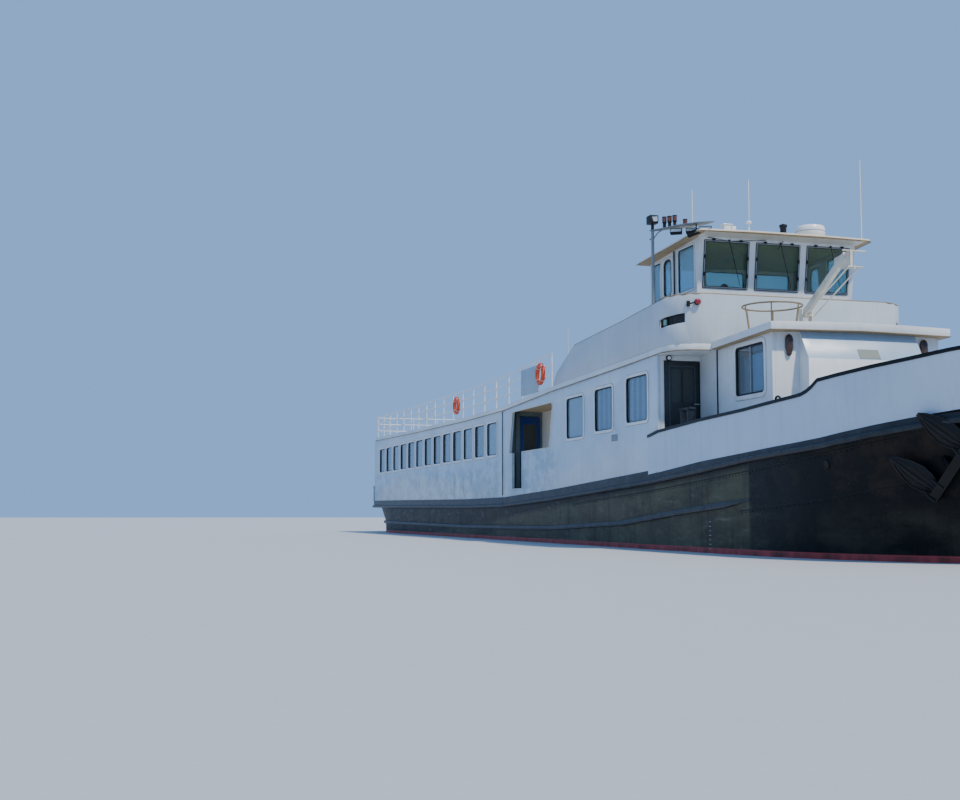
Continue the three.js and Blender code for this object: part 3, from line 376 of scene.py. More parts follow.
def makeCurtain(look, name="netCurtain", drawn=True):
    material, tree, surface, place = startMaterial(name, Roughness=0.8)
    folds = addNode(tree, "TexWave", {"Vector": place, "Scale": 0.314 / look["foldWide"], "Distortion": 1.6,
                                      "Detail": 2, "Detail Scale": 0.6}, bands_direction="X")["Fac"]
    color = addMix(tree, folds, hexColor(look["cloth"]), look["fold"])
    if drawn:
        half = look["wide"] / 2
        away = addNode(tree, "SeparateXYZ", {"Vector": place})["X"]
        for operation, value in (("SUBTRACT", look["first"]), ("FLOORED_MODULO", look["pitch"]),
                                 ("SUBTRACT", half), ("ABSOLUTE", 0)):
            away = addNode(tree, "Math", {0: away, 1: value}, operation=operation)[0]
        edge = half - look["gap"]
        color = addMix(tree, addRange(tree, away, edge, edge + look["gapEdge"]), color, look["shade"])
    tree.links.new(color, surface["Base Color"])
    bump = addNode(tree, "Bump", {"Height": folds, "Distance": look["foldDeep"]})[0]
    tree.links.new(bump, surface["Normal"])
    return material


# Bitumen black on riveted plate: half matt and dented, brown river dirt aft, dull red boot-top at the water
hullBlack = makeCoat("bitumenHullBlack", {
    "base": "#0d1014", "shine": 0.15, "rough": (0.36, 0.6), "grain": (55, 0.0016), "dents": (1.4, 0.03),
    "wear": [
        {"color": "#55543f", "strength": 0.9, "scale": 1.1, "stretch": (0.5, 1, 1.6), "from": 0.3, "to": 0.52,
         "zones": [((1, 0, 0), 8.87, 8.8), ((-0.063, 0, 1), 0.42, 0.34)]},
        {"color": "#36362c", "strength": 0.6, "scale": 2.1, "stretch": (0.5, 1, 1.4), "from": 0.42, "to": 0.6,
         "zones": [((0, 0, 1), 0.55, 0.4)]},
        {"color": "#807a6c", "strength": 0.5, "scale": 9, "stretch": (0.35, 1, 1.4), "from": 0.55, "to": 0.72,
         "zones": [((1, 0, 0), 9.4, 8.2), ((0, 0, 1), 0.9, 0.6)]},
        {"color": "#34291f", "strength": 0.6, "scale": 2.6, "stretch": (0.7, 1, 1), "from": 0.5, "to": 0.64},
        {"color": "#6f6c64", "strength": 0.5, "scale": 26, "stretch": (0.8, 1, 1), "from": 0.66, "to": 0.73},
        {"color": "#0b0c0e", "strength": 0.7, "scale": 7, "stretch": (1.6, 1.6, 0.12), "from": 0.55,
         "to": 0.7},
        {"color": "#b8504f", "strength": 1, "zones": [((0, 0, 1), 0.066, 0.058)]},
        {"color": "#40382f", "strength": 0.7, "scale": 6, "stretch": (1, 1, 0.4), "from": 0.4, "to": 0.65,
         "zones": [((0, 0, 1), 0.066, 0.04)]}]})

# Marine enamel rolled on steel plate: glossy, a little chalky and dented, with grey runs and specks of rust
runs = {"color": "#a3a29a", "strength": 0.32, "scale": 6, "stretch": (1.5, 1.5, 0.1), "from": 0.52,
        "to": 0.78}
specks = {"color": "#8a6a4c", "strength": 0.35, "scale": 22, "stretch": (1, 1, 0.6), "from": 0.66, "to": 0.74}
chalk = {"strength": 1, "scale": 0.9, "stretch": (1, 1, 1.4), "from": 0.35, "to": 0.65}
plateLook = {"rough": (0.26, 0.42), "grain": (120, 0.0006), "dents": (1.7, 0.014)}


def plateCoat(name, fresh, chalky, *scars):
    wear = [{"color": chalky, **chalk}, runs, specks, *scars]
    return makeCoat(name, {"base": fresh, "wear": wear, **plateLook})


shipWhite = plateCoat("marineEnamelWhite", "#e4e8ea", "#cfd5d8")
# The same enamel on the house sides, its base tinted blue as painted sky shade, flaked and patched in blue
# below the windows aft of the entry
lowAft = [((0, 0, 1), 1.52, 1.3), ((1, 0, 0), 0.5, -0.5)]
besideEntry = [((0, 0, 1), 1.5, 1.4), ((1, 0, 0), 0.2, 0.5), ((1, 0, 0), 2.9, 2.5)]
sideWhite = plateCoat(
    "marineEnamelWeathered", "#ccdae6", "#b9cbdb",
    {"color": "#8fb2c6", "strength": 0.85, "scale": 3.2, "stretch": (0.7, 1, 1.3), "from": 0.42, "to": 0.62,
     "ragged": 0.72, "zones": lowAft},
    {"color": "#6d828f", "strength": 0.8, "scale": 5, "stretch": (1.2, 1, 0.3), "from": 0.56, "to": 0.7,
     "ragged": 0.72, "zones": lowAft},
    {"color": "#8aaabf", "strength": 0.75, "scale": 2.4, "stretch": (1, 1, 1.2), "from": 0.44, "to": 0.56,
     "ragged": 0.72, "zones": besideEntry})
# The bulwarks' plates are tinted blue as painted sky shade, the bay's slope is a darker blue-grey as painted
# shade, and the bridge screen is greyed as painted shade
plateSkyWhite = plateCoat("marineEnamelCool", "#c6d5e3", "#b9cbdb")
slopeShade = plateCoat("marineEnamelBlueGrey", "#a9c0d6", "#9db4ca")
screenShade = plateCoat("marineEnamelGreyed", "#c3ccd3", "#b4bfc8")
# Cream enamel of the roof and the entry's lining: duller, yellowed, with tan streaks where rain runs off
roofCream = makeCoat("roofEnamelCream", {"base": "#e2ddce", "rough": (0.35, 0.55), "wear": [
    {"color": "#d2cab6", "strength": 0.8, "scale": 1.4, "from": 0.4, "to": 0.65},
    {"color": "#a58d66", "strength": 0.5, "scale": 8, "stretch": (1.2, 1.2, 0.3), "from": 0.55, "to": 0.75},
    specks]})

# Deck paint with sand in it: dull and gritty. Antifouling: chalky red, rough as a sanded board
deckGrey = plainCoat("deckPaintGrey", "#8d9394", "#6f7270", 0.6, rough=(0.6, 0.8), grain=(70, 0.002))
antifouling = plainCoat("antifoulingRed", "#6f383e", "#574a42", 0.6, rough=(0.65, 0.85), grain=(30, 0.003))
# Oil paint indoors, brushed thin: flat and warm, the cabin's in two greens and the ceilings tan
satin, flat = {"rough": (0.35, 0.5)}, {"rough": (0.5, 0.7)}
ceilingTan = plainCoat("ceilingPaintTan", "#b79f7c", "#8f7a5c", 0.4, **flat)
cabinGreen = plainCoat("cabinPaintGreenGrey", "#9dab92", "#828f78", 0.4, **flat)
cabinOlive = plainCoat("cabinPaintOlive", "#b4ba92", "#949b74", 0.4, rough=(0.6, 0.8))
# Black enamel of the strakes, dusty and dented, and of the rail cap, rubbed by ropes to a dull shine
strakeBlack = plainCoat("enamelStrakeBlack", "#1b2129", "#444d55", 0.45, shine=0.35, rough=(0.35, 0.55),
                        dents=(3, 0.004))
# The same black fills the hull outlets as painted shade in the holes
capBlackAndHoleShade = plainCoat("enamelCapBlack", "#0b0c0f", "#24272b", 0.35, shine=0.25, **satin)
# Plain black paint, also used as painted shade for the dark room behind the fore house windows and in the
# wells of the clogs
tarBlackAndShade = plainCoat("paintRubbingBlack", "#1c1e22", "#3b3d40", 0.6, rough=(0.4, 0.6))
# Door enamel: dark grey with paler panels in satin and the entry's blue glossier; the entry's jambs and the
# lobby wall facing ahead are a dark grey-green that is painted shade of the recess
doorDark = plainCoat("enamelDoorGrey", "#25292d", "#3a3f44", 0.4, **satin)
doorPanel = plainCoat("enamelDoorPanelGrey", "#40474e", "#565d63", 0.4, **satin)
doorBlue = plainCoat("enamelDoorBlue", "#17367a", "#2c4c8a", 0.3, rough=(0.25, 0.4))
lobbyShade = plainCoat("enamelLobbyGreenGrey", "#5f6d6c", "#4a5654", 0.5, rough=(0.4, 0.6))
# Enamel on small steel: rails fresh and glossy, mast and frames creamy, post grey, drip edges brown with rust
# and darkened as painted shadow line below the edges
railWhite = plainCoat("enamelRailWhite", "#e7e9e9", "#bdb8aa", 0.4, rough=(0.25, 0.4))
mastCream = plainCoat("enamelMastCream", "#ddd7c6", "#a58a63", 0.45, **satin)
frameCream = plainCoat("enamelFrameCream", "#e3e0d4", "#bcb39c", 0.5)
postGrey = plainCoat("enamelPostGrey", "#7b858c", "#5c656b", 0.4, **satin)
dripTanAndShadow = plainCoat("rustStainedEnamel", "#8d7c5a", "#5f4a30", 0.7, rough=(0.4, 0.6))
# Paint on plywood, the board's pale blue and the plate's grey-green: even, with a low sheen
boardPale = plainCoat("boardPaintPale", "#9fb2c2", "#8a9cab", 0.4, rough=(0.4, 0.55))
boardGrey = plainCoat("boardGreyGreen", "#6f7b77", "#5d6763", 0.4, rough=(0.4, 0.55))
# Forged and cast iron under tar: pitted, black, rusty where it rubs
anchorBlack = plainCoat("anchorTarBlack", "#07080a", "#15161a", 0.35, shine=0.3, rough=(0.3, 0.5),
                        grain=(60, 0.0015))
ironBlack = plainCoat("castIronBlack", "#16171a", "#3d3832", 0.4, rough=(0.42, 0.6), shine=0.3,
                      grain=(60, 0.002))
# Bare metals: cast bronze gone brown, zinc dulled to grey and white, anodised aluminium with a soft gleam
bronze = plainCoat("castBronze", "#b08d52", "#6f6a48", 0.5, rough=(0.28, 0.45), metallic=1)
galvanised = plainCoat("galvanisedSteel", "#c2c2bb", "#9a978a", 0.5, rough=(0.38, 0.55), metallic=0.25)
aluminium = plainCoat("anodisedAluminium", "#c6c8c9", "#9ea1a3", 0.4, rough=(0.28, 0.4), metallic=0.9)
# Moulded gelcoat, smooth and even, EPDM rubber, matt, and silicone bead, greyed by dust
plasticWhite = plainCoat("gelcoatWhite", "#eceded", "#cfd0cc", 0.3, rough=(0.2, 0.32), grain=(90, 0.0003))
frameGrey = plainCoat("gelcoatFrameGrey", "#8c9398", "#767d82", 0.3, grain=(90, 0.0004), **satin)
rubberBlack = plainCoat("rubberGasketBlack", "#17181a", "#2f3134", 0.4, rough=(0.55, 0.75),
                        grain=(80, 0.0004))
sealant = plainCoat("sealantGrey", "#8f979c", "#6f777c", 0.5, **flat)
# Lifebuoy cover, orange vinyl faded in the sun, and its bands of polyester rope, soft and matt
lifebuoyOrange = plainCoat("lifebuoyOrange", "#e2562a", "#c9461f", 0.4, rough=(0.4, 0.55))
ropeWhite = plainCoat("ropeWhite", "#d8d4c6", "#a8a292", 0.5, rough=(0.7, 0.85), grain=(300, 0.002))
# Acrylic lamp lenses: deep colour under a clear polished skin
lensLook = {"rough": (0.1, 0.2), "varnish": 0.6}
lampRed = plainCoat("lampLensRed", "#8d141d", "#6a1016", 0.3, **lensLook)
lampGreen = plainCoat("lampLensGreen", "#7fae9c", "#4f8f7c", 0.3, **lensLook)
lampClear = plainCoat("lampLensFrosted", "#e4e8e9", "#c3cacd", 0.3, **lensLook)
lampAmber = plainCoat("lampLensAmber", "#6b3a1c", "#3c2212", 0.4, **lensLook)
# Oiled and varnished wood: dark brown with a wet gloss
varnishedWood = plainCoat("varnishedWood", "#4a2f1e", "#2a1a12", 0.5, rough=(0.25, 0.4), varnish=0.5)
# Woven blinds, white and blue: matt cloth, its weave drawn coarse, 5 mm, so that it shows
blindCloth = plainCoat("rollerBlindCloth", "#e3eff5", "#cfdfe8", 0.4, rough=(0.7, 0.85), grain=(200, 0.001))
skyBlind = plainCoat("blindClothBlue", "#86b3d4", "#5f93ba", 0.5, grain=(200, 0.001), **flat)
# Door panes, opaque: the dark room behind painted on as shade, olive tint, mirror-smooth
darkPane = plainCoat("tintedPaneOlive", "#1b211c", "#272d26", 0.3, rough=(0.05, 0.1), varnish=0.7)
curtain = makeCurtain(curtainLook)
openCurtain = makeCurtain({**curtainLook, "cloth": "#b4cde0", "fold": "#6f91ae", "foldWide": 0.17},
                          "netCurtainWide", False)
clearGlass = makeGlass("floatGlassClear", "#e0f0e0", 0.96, 1.2)      # thin, greenish, little mirror
cabinGlass = makeGlass("floatGlassBlue", "#d3e4ee", 0.9, 1.38)       # mirrors the sky over the curtains, its blue tint painted sky reflection
skyGlass = makeGlass("floatGlassHazy", "#b3e2f2", 0.7, 1.4)          # milky cyan tint as painted sky reflection
print("materials mixed")


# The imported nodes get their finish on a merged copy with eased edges
slotOf = {row["node"]: row["material_slot"] for row in frame["record"]["subparts"]}


def bothSides(*names):
    return [name + "_" + tag for name in names for tag in sides]


# Walls with openings and bent strips keep their triangles, the others get flat faces first
openWalls = ["forehouse_front", "wheelhouse_front"]
openWalls += bothSides("house_side_fore", "entry_lobby", "lower_strake")
mergeLook = {"doubles": 0.00005, "flat": 0.3, "faces": 0.75}


def mergedCopy(node, name):
    source = frame["nodes"][node]
    piece = source.copy()
    piece.data = source.data.copy()
    bpy.context.scene.collection.objects.link(piece)
    piece.parent = None
    piece.matrix_world = Matrix.Identity(4)
    piece.name = name
    for key in list(piece.keys()):
        del piece[key]
    pick(piece)
    bpy.ops.mesh.customdata_custom_splitnormals_clear()
    bpy.ops.object.mode_set(mode="EDIT")
    bpy.ops.mesh.select_all(action="SELECT")
    bpy.ops.mesh.remove_doubles(threshold=mergeLook["doubles"])
    if node not in openWalls:
        bpy.ops.mesh.dissolve_limited(angle_limit=math.radians(mergeLook["flat"]))
    bpy.ops.object.mode_set(mode="OBJECT")
    return piece


# Other materials go on the faces that a test picks
def coatFaces(piece, material, belongs):
    piece.data.materials.append(material)
    for face in piece.data.polygons:
        if belongs(face):
            face.material_index = len(piece.data.materials) - 1


# They go on the faces that look a given way, such as up for decks and down for ceilings
def dress(nodes, material, edge=0.0, angle=35, others=()):
    for node in nodes:
        piece = mergedCopy(node, node + "_finish")
        if edge:
            roundEdges(piece, edge, 2, angle)
        else:
            smoothBy(piece, angle)
        coat(piece, material)
        for other, way in others:
            coatFaces(piece, other, lambda face: face.normal.dot(Vector(way)) > mergeLook["faces"])
        finishPiece(piece, frame["nodes"][node]["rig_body"], slotOf[node], node)
    return piece


up, down, ahead = (0, 0, 1), (0, 0, -1), (1, 0, 0)
hullFinish = dress(["hull"], hullBlack, 0, 30, [(deckGrey, up)])
dress(["forecastle"], plateSkyWhite, 0, 30, [(deckGrey, up)])
dress(["rail_cap"], capBlackAndHoleShade, 0.006, 30)
dress(["stern_bulwark"], plateSkyWhite, 0.004, 30)
dress(["upper_deck"], shipWhite, 0.002, 30, [(deckGrey, up)])
dress(["skeg"], antifouling, 0.008)
dress(["upper_strake_fore", "upper_strake_aft"] + bothSides("lower_strake"), strakeBlack, 0, 40)
dress(bothSides("house_side_fore", "house_side_aft"), sideWhite, 0.004, 30)
dress(["bridge_screen"], screenShade, 0.0015, 30)
dress(["house_front_wall", "house_aft_wall"] + bothSides("forehouse_side"), shipWhite, 0.004, 30)
bay = dress(["forehouse_front"], shipWhite, 0.004, 30)
# The bay's upward-sloping face takes the blue-grey painted shade
coatFaces(bay, slopeShade, lambda face: face.normal.x > 0.5 and 0.3 < face.normal.z < 0.8)
dress(bothSides("wheelhouse_side", "wheelhouse_door"), shipWhite, 0.004, 30)
dress(["wheelhouse_front", "wheelhouse_aft"], shipWhite, 0.004, 30)
dress(["wheelhouse_roof"], roofCream, 0.004, 30, [(ceilingTan, down)])
dress(["forehouse_roof"], shipWhite, 0.008, 30, [(ceilingTan, down)])
# The lobby's faces looking ahead are dark grey-green as painted shade
dress(bothSides("entry_lobby"), roofCream, 0.003, 30, [(ceilingTan, down), (lobbyShade, ahead)])
dress(bothSides("fore_door") + ["aft_door"], doorDark, 0.003, 30)
dress(["helm_console"], cabinGreen, 0.006, 30)
dress(bothSides("entry_door"), doorBlue, 0.003, 30)
dress(["windlass", "searchlight"], ironBlack, 0.003)
dress(bothSides("bollards_fore", "bollards_aft"), strakeBlack, 0.003)
dress(bothSides("anchor"), anchorBlack, 0.008)
postHead = 4.055      # the lamps on the light post stand above this height
coatFaces(dress(["light_post"], postGrey, 0.002), ironBlack, lambda face: face.center.z > postHead)
dress(["mast_foot"], mastCream, 0.003)
dress(["folding_mast"], mastCream, 0.004)
dress(["deck_mast"], galvanised, 0.002, 50)
dress(["propeller"], bronze, 0.004, 40)
dress(["rudder"], antifouling, 0.006, 40)
dress(["radome"], plasticWhite, 0.004, 40)
dress(["guard_ring"], dripTanAndShadow, 0, 60)
for tag in sides:
    coat(frame["nodes"]["glazing_aft_" + tag], curtain)
    coat(frame["nodes"]["glazing_fore_" + tag], openCurtain)
coat(frame["nodes"]["wheelhouse_glass"], clearGlass)
print("packed nodes dressed")


# Heights along the ship, straight between the places listed: x and the foot of the upper deck there
deckFoot = [(-12.64, 2.32), (-11.3, 2.3), (-7.0, 2.235), (-2.5, 2.2), (0, 2.21), (2.5, 2.31), (5.35, 2.375),
            (6.2, 2.396), (6.5, 2.406), (7.7, 2.436), (8.75, 2.45)]
deckThick = 0.08


def heightAt(rows, x):
    for (lowX, low), (highX, high) in zip(rows, rows[1:]):
        if x <= highX:
            return low + (high - low) * max(0, (x - lowX) / (highX - lowX))
    return rows[-1][1]


def deckTop(x):
    return heightAt(deckFoot, x) + deckThick


def arc(middleX, middleY, radius, start, end, steps=8):
    angles = [math.radians(start + (end - start) * i / steps) for i in range(steps + 1)]
    return [(middleX + radius * math.cos(a), middleY + radius * math.sin(a)) for a in angles]


# Cabin windows: thin white flanges over the plate with a line of sealant, black reveal, glass set back
cabinWindow = {"lap": 0.036, "thick": 0.006, "radius": 0.088, "seal": 0.005, "sealThick": 0.0025,
               "reveal": 0.011, "sunk": 0.028, "pane": 0.005, "play": 0.004, "y": 1.65}
aftRow = [(-10.65 + i * 0.8, -10.03 + i * 0.8, 1.475, 2.05) for i in range(13)]
foreRow = [(3.165, 3.875, 1.545, 2.14), (4.33, 5.0, 1.58, 2.165), (5.48, 6.185, 1.62, 2.21)]
blinds = {"down": {"aft": (2, 5, 10, 12), "fore": (0,)}, "behind": 0.0302, "play": 0.03, "radius": 0.04,
          "thick": 0.002}


def windowParts(place, wide, tall, look, radius=0.06):
    lap, deep, seal = look["lap"], look["sunk"], look["seal"]
    sunk = place @ Matrix.Translation((0, 0, -deep))
    outer = (wide + 2 * lap, tall + 2 * lap)
    line = roundRing("seal", outer[0] + 2 * seal, outer[1] + 2 * seal, look["radius"] + seal, seal * 2,
                     cabinWindow["sealThick"], place, 0, 6)
    flange = roundRing("flange", *outer, look["radius"], lap + 0.002, look["thick"], place, 0.002, 6)
    reveal = roundRing("reveal", wide - 0.001, tall - 0.001, radius, look["reveal"], deep - 0.002, sunk, 0)
    play = cabinWindow["play"]
    pane = roundPlate("pane", wide - play, tall - play, radius, cabinWindow["pane"], sunk)
    return {"seal": [line], "flange": [flange], "reveal": [reveal], "pane": [pane], "blind": []}


def fitWindows(label, rows, body="root", pane=cabinGlass):
    kinds = {"seal": (sealant, "white_paint"), "flange": (railWhite, "white_paint"),
             "reveal": (rubberBlack, "cap_paint"), "pane": (pane, "glass"), "blind": (blindCloth, "glass")}
    for kind, (material, slot) in kinds.items():
        parts = [piece for row in rows for piece in row[kind]]
        if parts:
            addPart("window_" + kind + "_" + label, parts, material, slot, body)


for tag, side in sides.items():
    for label, row in (("aft", aftRow), ("fore", foreRow)):
        rows = []
        for i, (low, high, sill, head) in enumerate(row):
            place = facing(tag, ((low + high) / 2, side * cabinWindow["y"], (sill + head) / 2))
            rows.append(windowParts(place, high - low, head - sill, cabinWindow))
            if i in blinds["down"][label]:
                behind = place @ Matrix.Translation((0, 0, -blinds["behind"]))
                rows[-1]["blind"].append(roundPlate("blind", high - low - blinds["play"],
                                                    head - sill - blinds["play"], blinds["radius"],
                                                    blinds["thick"], behind))
        fitWindows(label + "_" + tag, rows)
print("cabin windows fitted")


# Upper deck: a rusty half-round along the foot of its edge, darkened as the painted shadow line there, and
# along the top of the bridge screen
deckOut = {"half": 1.662, "aft": -11.42, "fore": 7.0, "aftRadius": 0.3, "foreRadius": 0.4,
           "frontHalf": 1.16, "bead": 0.007, "beadUp": 0.003}
screenOut = {"inset": 0.013, "y": 1.649, "bead": 0.012, "beadUp": 0.004, "foot": 2.39, "corner": (3.08, 0.03),
             "top": [(2.6, 2.42), (2.75, 2.56), (3.55, 2.895), (5.35, 2.98), (6.6, 3.06)]}


def foreCorner(look, inset=0.0):
    radius = look["foreRadius"] - inset
    return arc(look["fore"] - look["foreRadius"], radius - look["half"] + inset, radius, 0, -90)


def bothHalves(points):
    return points + [(x, -y, *z) for x, y, *z in reversed(points)]


small = deckOut["aftRadius"]
edge = [(deckOut["fore"], -deckOut["frontHalf"])] + foreCorner(deckOut)
edge += [(x, -deckOut["half"]) for x in (5.35, 2.5, 0, -2.5, -7.0)]
edge += arc(deckOut["aft"] + small, small - deckOut["half"], small, -90, -180)
edge = [(x, y, heightAt(deckFoot, x) + deckOut["beadUp"]) for x, y in bothHalves(edge)]
addPart("deck_drip_edge", [pipeAlong("bead", edge, deckOut["bead"])], dripTanAndShadow, "roof_paint")

base, rise = screenOut["corner"]
corner = foreCorner(deckOut, screenOut["inset"])
edge = [(x, y, base + rise * (1 - i / 8)) for i, (x, y) in enumerate(corner)]
edge += [(x, -screenOut["y"], z) for x, z in reversed(screenOut["top"])]
edge += [(2.6, -screenOut["y"], screenOut["foot"])]
edge = list(reversed(edge)) + [(x, -y, z) for x, y, z in edge]
edge = [(x, y, z + screenOut["beadUp"]) for x, y, z in edge]
addPart("screen_top_bead", [pipeAlong("bead", edge, screenOut["bead"])], dripTanAndShadow, "roof_paint")

# Battens over plate seams: span along, middle across, half its thickness and span up
battenRows = [((-0.112, -0.088), 1.6535, 0.0045, (0.76, 2.2)), ((6.985, 7.008), 1.0795, 0.005, (1.33, 2.42))]
battens = [sideBox("batten", side, along, (y - half, y + half), rise) for side in sides.values()
           for along, y, half, rise in battenRows]
addPart("seam_battens", battens, tarBlackAndShade, "cap_paint")

ventLook = {"x": 5.07, "z": 1.457, "wide": 0.2, "high": 0.09, "slats": 5, "pitch": 0.015, "tilt": -0.6}
tilt = Matrix.Rotation(ventLook["tilt"], 4, "X")
vents, slats = [], []
for tag, side in sides.items():
    place = facing(tag, (ventLook["x"], side * cabinWindow["y"], ventLook["z"]))
    vents.append(roundRing("vent", ventLook["wide"], ventLook["high"], 0.01, 0.012, 0.008, place, 0.002))
    for i in range(ventLook["slats"]):
        shift = Matrix.Translation((0, ventLook["pitch"] * (i - 2), 0.001))
        slats.append(roundPlate("slat", 0.18, 0.014, 0.001, 0.002, place @ shift @ tilt))
addPart("side_vents", vents + slats, frameGrey, "white_paint")

# Entry: bead round the opening, door posts dark grey-green as painted shade of the recess, then the door's
# glass and handle
entryLook = {"y": 1.652, "bead": 0.009, "post": ((0.272, 0.31), (1.465, 1.535), (0.86, 2.14)),
             "edge": [(0.3, 1.46), (0.475, 2.12), (0.5, 2.15), (2.48, 2.15), (2.54, 2.1), (2.375, 1.46),
                      (1.0, 1.46), (1.0, 0.87), (0.985, 0.855), (0.465, 0.855), (0.45, 0.87), (0.45, 1.46)],
             "pane": (0.27, 1.27, 1.62), "wide": 0.25, "tall": 0.7, "rim": 0.02,
             "handle": [(0.27, 1.41, 1.34), (0.305, 1.41, 1.34), (0.305, 1.34, 1.34)]}
linings, posts = [], []
for side in sides.values():
    edge = [(x, side * entryLook["y"], z) for x, z in entryLook["edge"]]
    linings.append(pipeAlong("lining", edge, entryLook["bead"], True))
    posts.append(sideBox("post", side, *entryLook["post"]))
addPart("entry_edge_bead", linings, frameCream, "roof_paint")
addPart("entry_door_posts", posts, lobbyShade, slotOf["entry_lobby_stbd"])


# Points drawn for the port side, laid on either side
def onSide(side, points):
    return [(x, side * y, z) for x, y, z in points]


for tag, side in sides.items():
    body = "entry_door_" + tag
    place = facing("fore", onSide(side, [entryLook["pane"]])[0])
    wide, tall, rim = entryLook["wide"], entryLook["tall"], entryLook["rim"]
    glassRim = roundRing("rim", wide + rim, tall + rim, 0.03, rim, 0.006, place, 0.002)
    pane = roundPlate("pane", wide, tall, 0.02, 0.003, place)
    handle = pipeAlong("handle", onSide(side, entryLook["handle"]), 0.007)
    finishPiece(coat(glassRim, doorBlue), body, "door_blue")
    finishPiece(coat(pane, darkPane), body, "glass")
    finishPiece(coat(handle, aluminium), body, "galvanised")
print("house side trimmed")


# Wheelhouse front: three raked windows in grey frames, held by black clamps, each with its wiper
frontWindow = {"place": (6.5, 0, 3.15), "rake": 8, "wide": 0.61, "low": 0.135, "high": 0.725, "pitch": 0.72,
               "topClamps": (-0.19, 0.19), "sideClamps": (-0.3, 0.3), "clampUp": (0.3, 0.52)}
# Rings round each pane: how much larger than it, then corner radius, band, thickness and eased edge
frameRing = (0.004, 0.012, 0.014, 0.01, 0.002)
rubberRings = ((0.02, 0.016, 0.009, 0.006, 0), (-0.024, 0.01, 0.007, 0.013, 0))
wiper = {"hub": 0.02, "elbow": (0.16, 0.28), "blade": ((0.1, 0.48), (0.2, 0.17))}
rakedFront = facing("fore", frontWindow["place"], frontWindow["rake"])


def onFront(x, y, out=0.0):
    return rakedFront @ Matrix.Translation((x, y, out))


def paneRing(name, place, more, radius, band, thick, edge):
    tall = frontWindow["high"] - frontWindow["low"]
    return roundRing(name, frontWindow["wide"] + more, tall + more, radius, band, thick, place, edge)


frames, rubbers, clamps, wipers = [], [], [], []
look = frontWindow
for shift in (-look["pitch"], 0, look["pitch"]):
    middle = onFront(shift, (look["low"] + look["high"]) / 2)
    frames.append(paneRing("frame", middle, *frameRing))
    rubbers += [paneRing("rubber", middle, *ring) for ring in rubberRings]
    for x in look["topClamps"]:
        knob = onFront(shift + x, look["high"] + 0.012, 0.016).translation
        clamps.append(startBall("clamp", knob, (0.03, 0.055, 0.03), 8))
    for x in look["sideClamps"]:
        for y in look["clampUp"]:
            knob, half = onFront(shift + x, y, 0.014).translation, Vector((0, 0, 0.022))
            clamps.append(startBar("clamp", knob - half, knob + half, 0.01, 10))
    hub = onFront(shift + wiper["hub"], look["high"] + 0.01, 0.025).translation
    x, y = wiper["elbow"]
    wipers.append(pipeAlong("arm", [hub, onFront(shift + x, y, 0.03).translation], 0.004))
    wipers.append(startBall("hub", hub, (0.03, 0.03, 0.03), 8))
    ends = [onFront(shift + x, y, 0.022).translation for x, y in wiper["blade"]]
    wipers.append(pipeAlong("blade", ends, 0.0035))
addPart("wheelhouse_front_frames", frames, frameGrey, "white_paint")
addPart("wheelhouse_front_gaskets", rubbers, rubberBlack, "cap_paint")
addPart("wheelhouse_front_clamps", clamps, ironBlack, "black_iron")
addPart("wheelhouse_wipers", wipers, rubberBlack, "galvanised")

# Its side and aft windows and the door lights. Rows: aft and fore edge and head, all over one sill
sidePane = {"lap": 0.022, "thick": 0.005, "radius": 0.06, "seal": 0.004, "reveal": 0.01, "sunk": 0.02,
            "y": 1.1, "sill": 3.285, "rows": ((5.14, 5.4, 3.8), (5.96, 6.44, 3.845))}
doorPane = {**sidePane, "lap": 0.012, "radius": 0.085, "place": (5.625, 1.102, 3.5435), "wide": 0.22,
            "tall": 0.477, "handle": [(5.52, 1.104, 3.2), (5.52, 1.14, 3.2), (5.58, 1.14, 3.2)]}
aftPane = {"x": 5.06, "z": 3.5335, "wide": 0.58, "tall": 0.497, "places": (-0.7, 0, 0.7)}
rows = []
for tag, side in sides.items():
    for low, high, top in sidePane["rows"]:
        sill = sidePane["sill"]
        place = facing(tag, ((low + high) / 2, side * sidePane["y"], (sill + top) / 2))
        rows.append(windowParts(place, high - low, top - sill, sidePane, 0.04))
    place = facing(tag, onSide(side, [doorPane["place"]])[0])
    door = windowParts(place, doorPane["wide"], doorPane["tall"], doorPane, 0.07)
    door["reveal"] += door["flange"]
    door["flange"] = []
    body = "wheelhouse_door_" + tag
    fitWindows(body, [door], body, skyGlass)
    handle = pipeAlong("handle", onSide(side, doorPane["handle"]), 0.007)
    addPart("wheelhouse_handle_" + tag, [handle], aluminium, "galvanised", body)
for y in aftPane["places"]:
    rows.append(windowParts(facing("aft", (aftPane["x"], y, aftPane["z"])), aftPane["wide"], aftPane["tall"],
                            sidePane, 0.04))
fitWindows("wheelhouse", rows, "root", skyGlass)

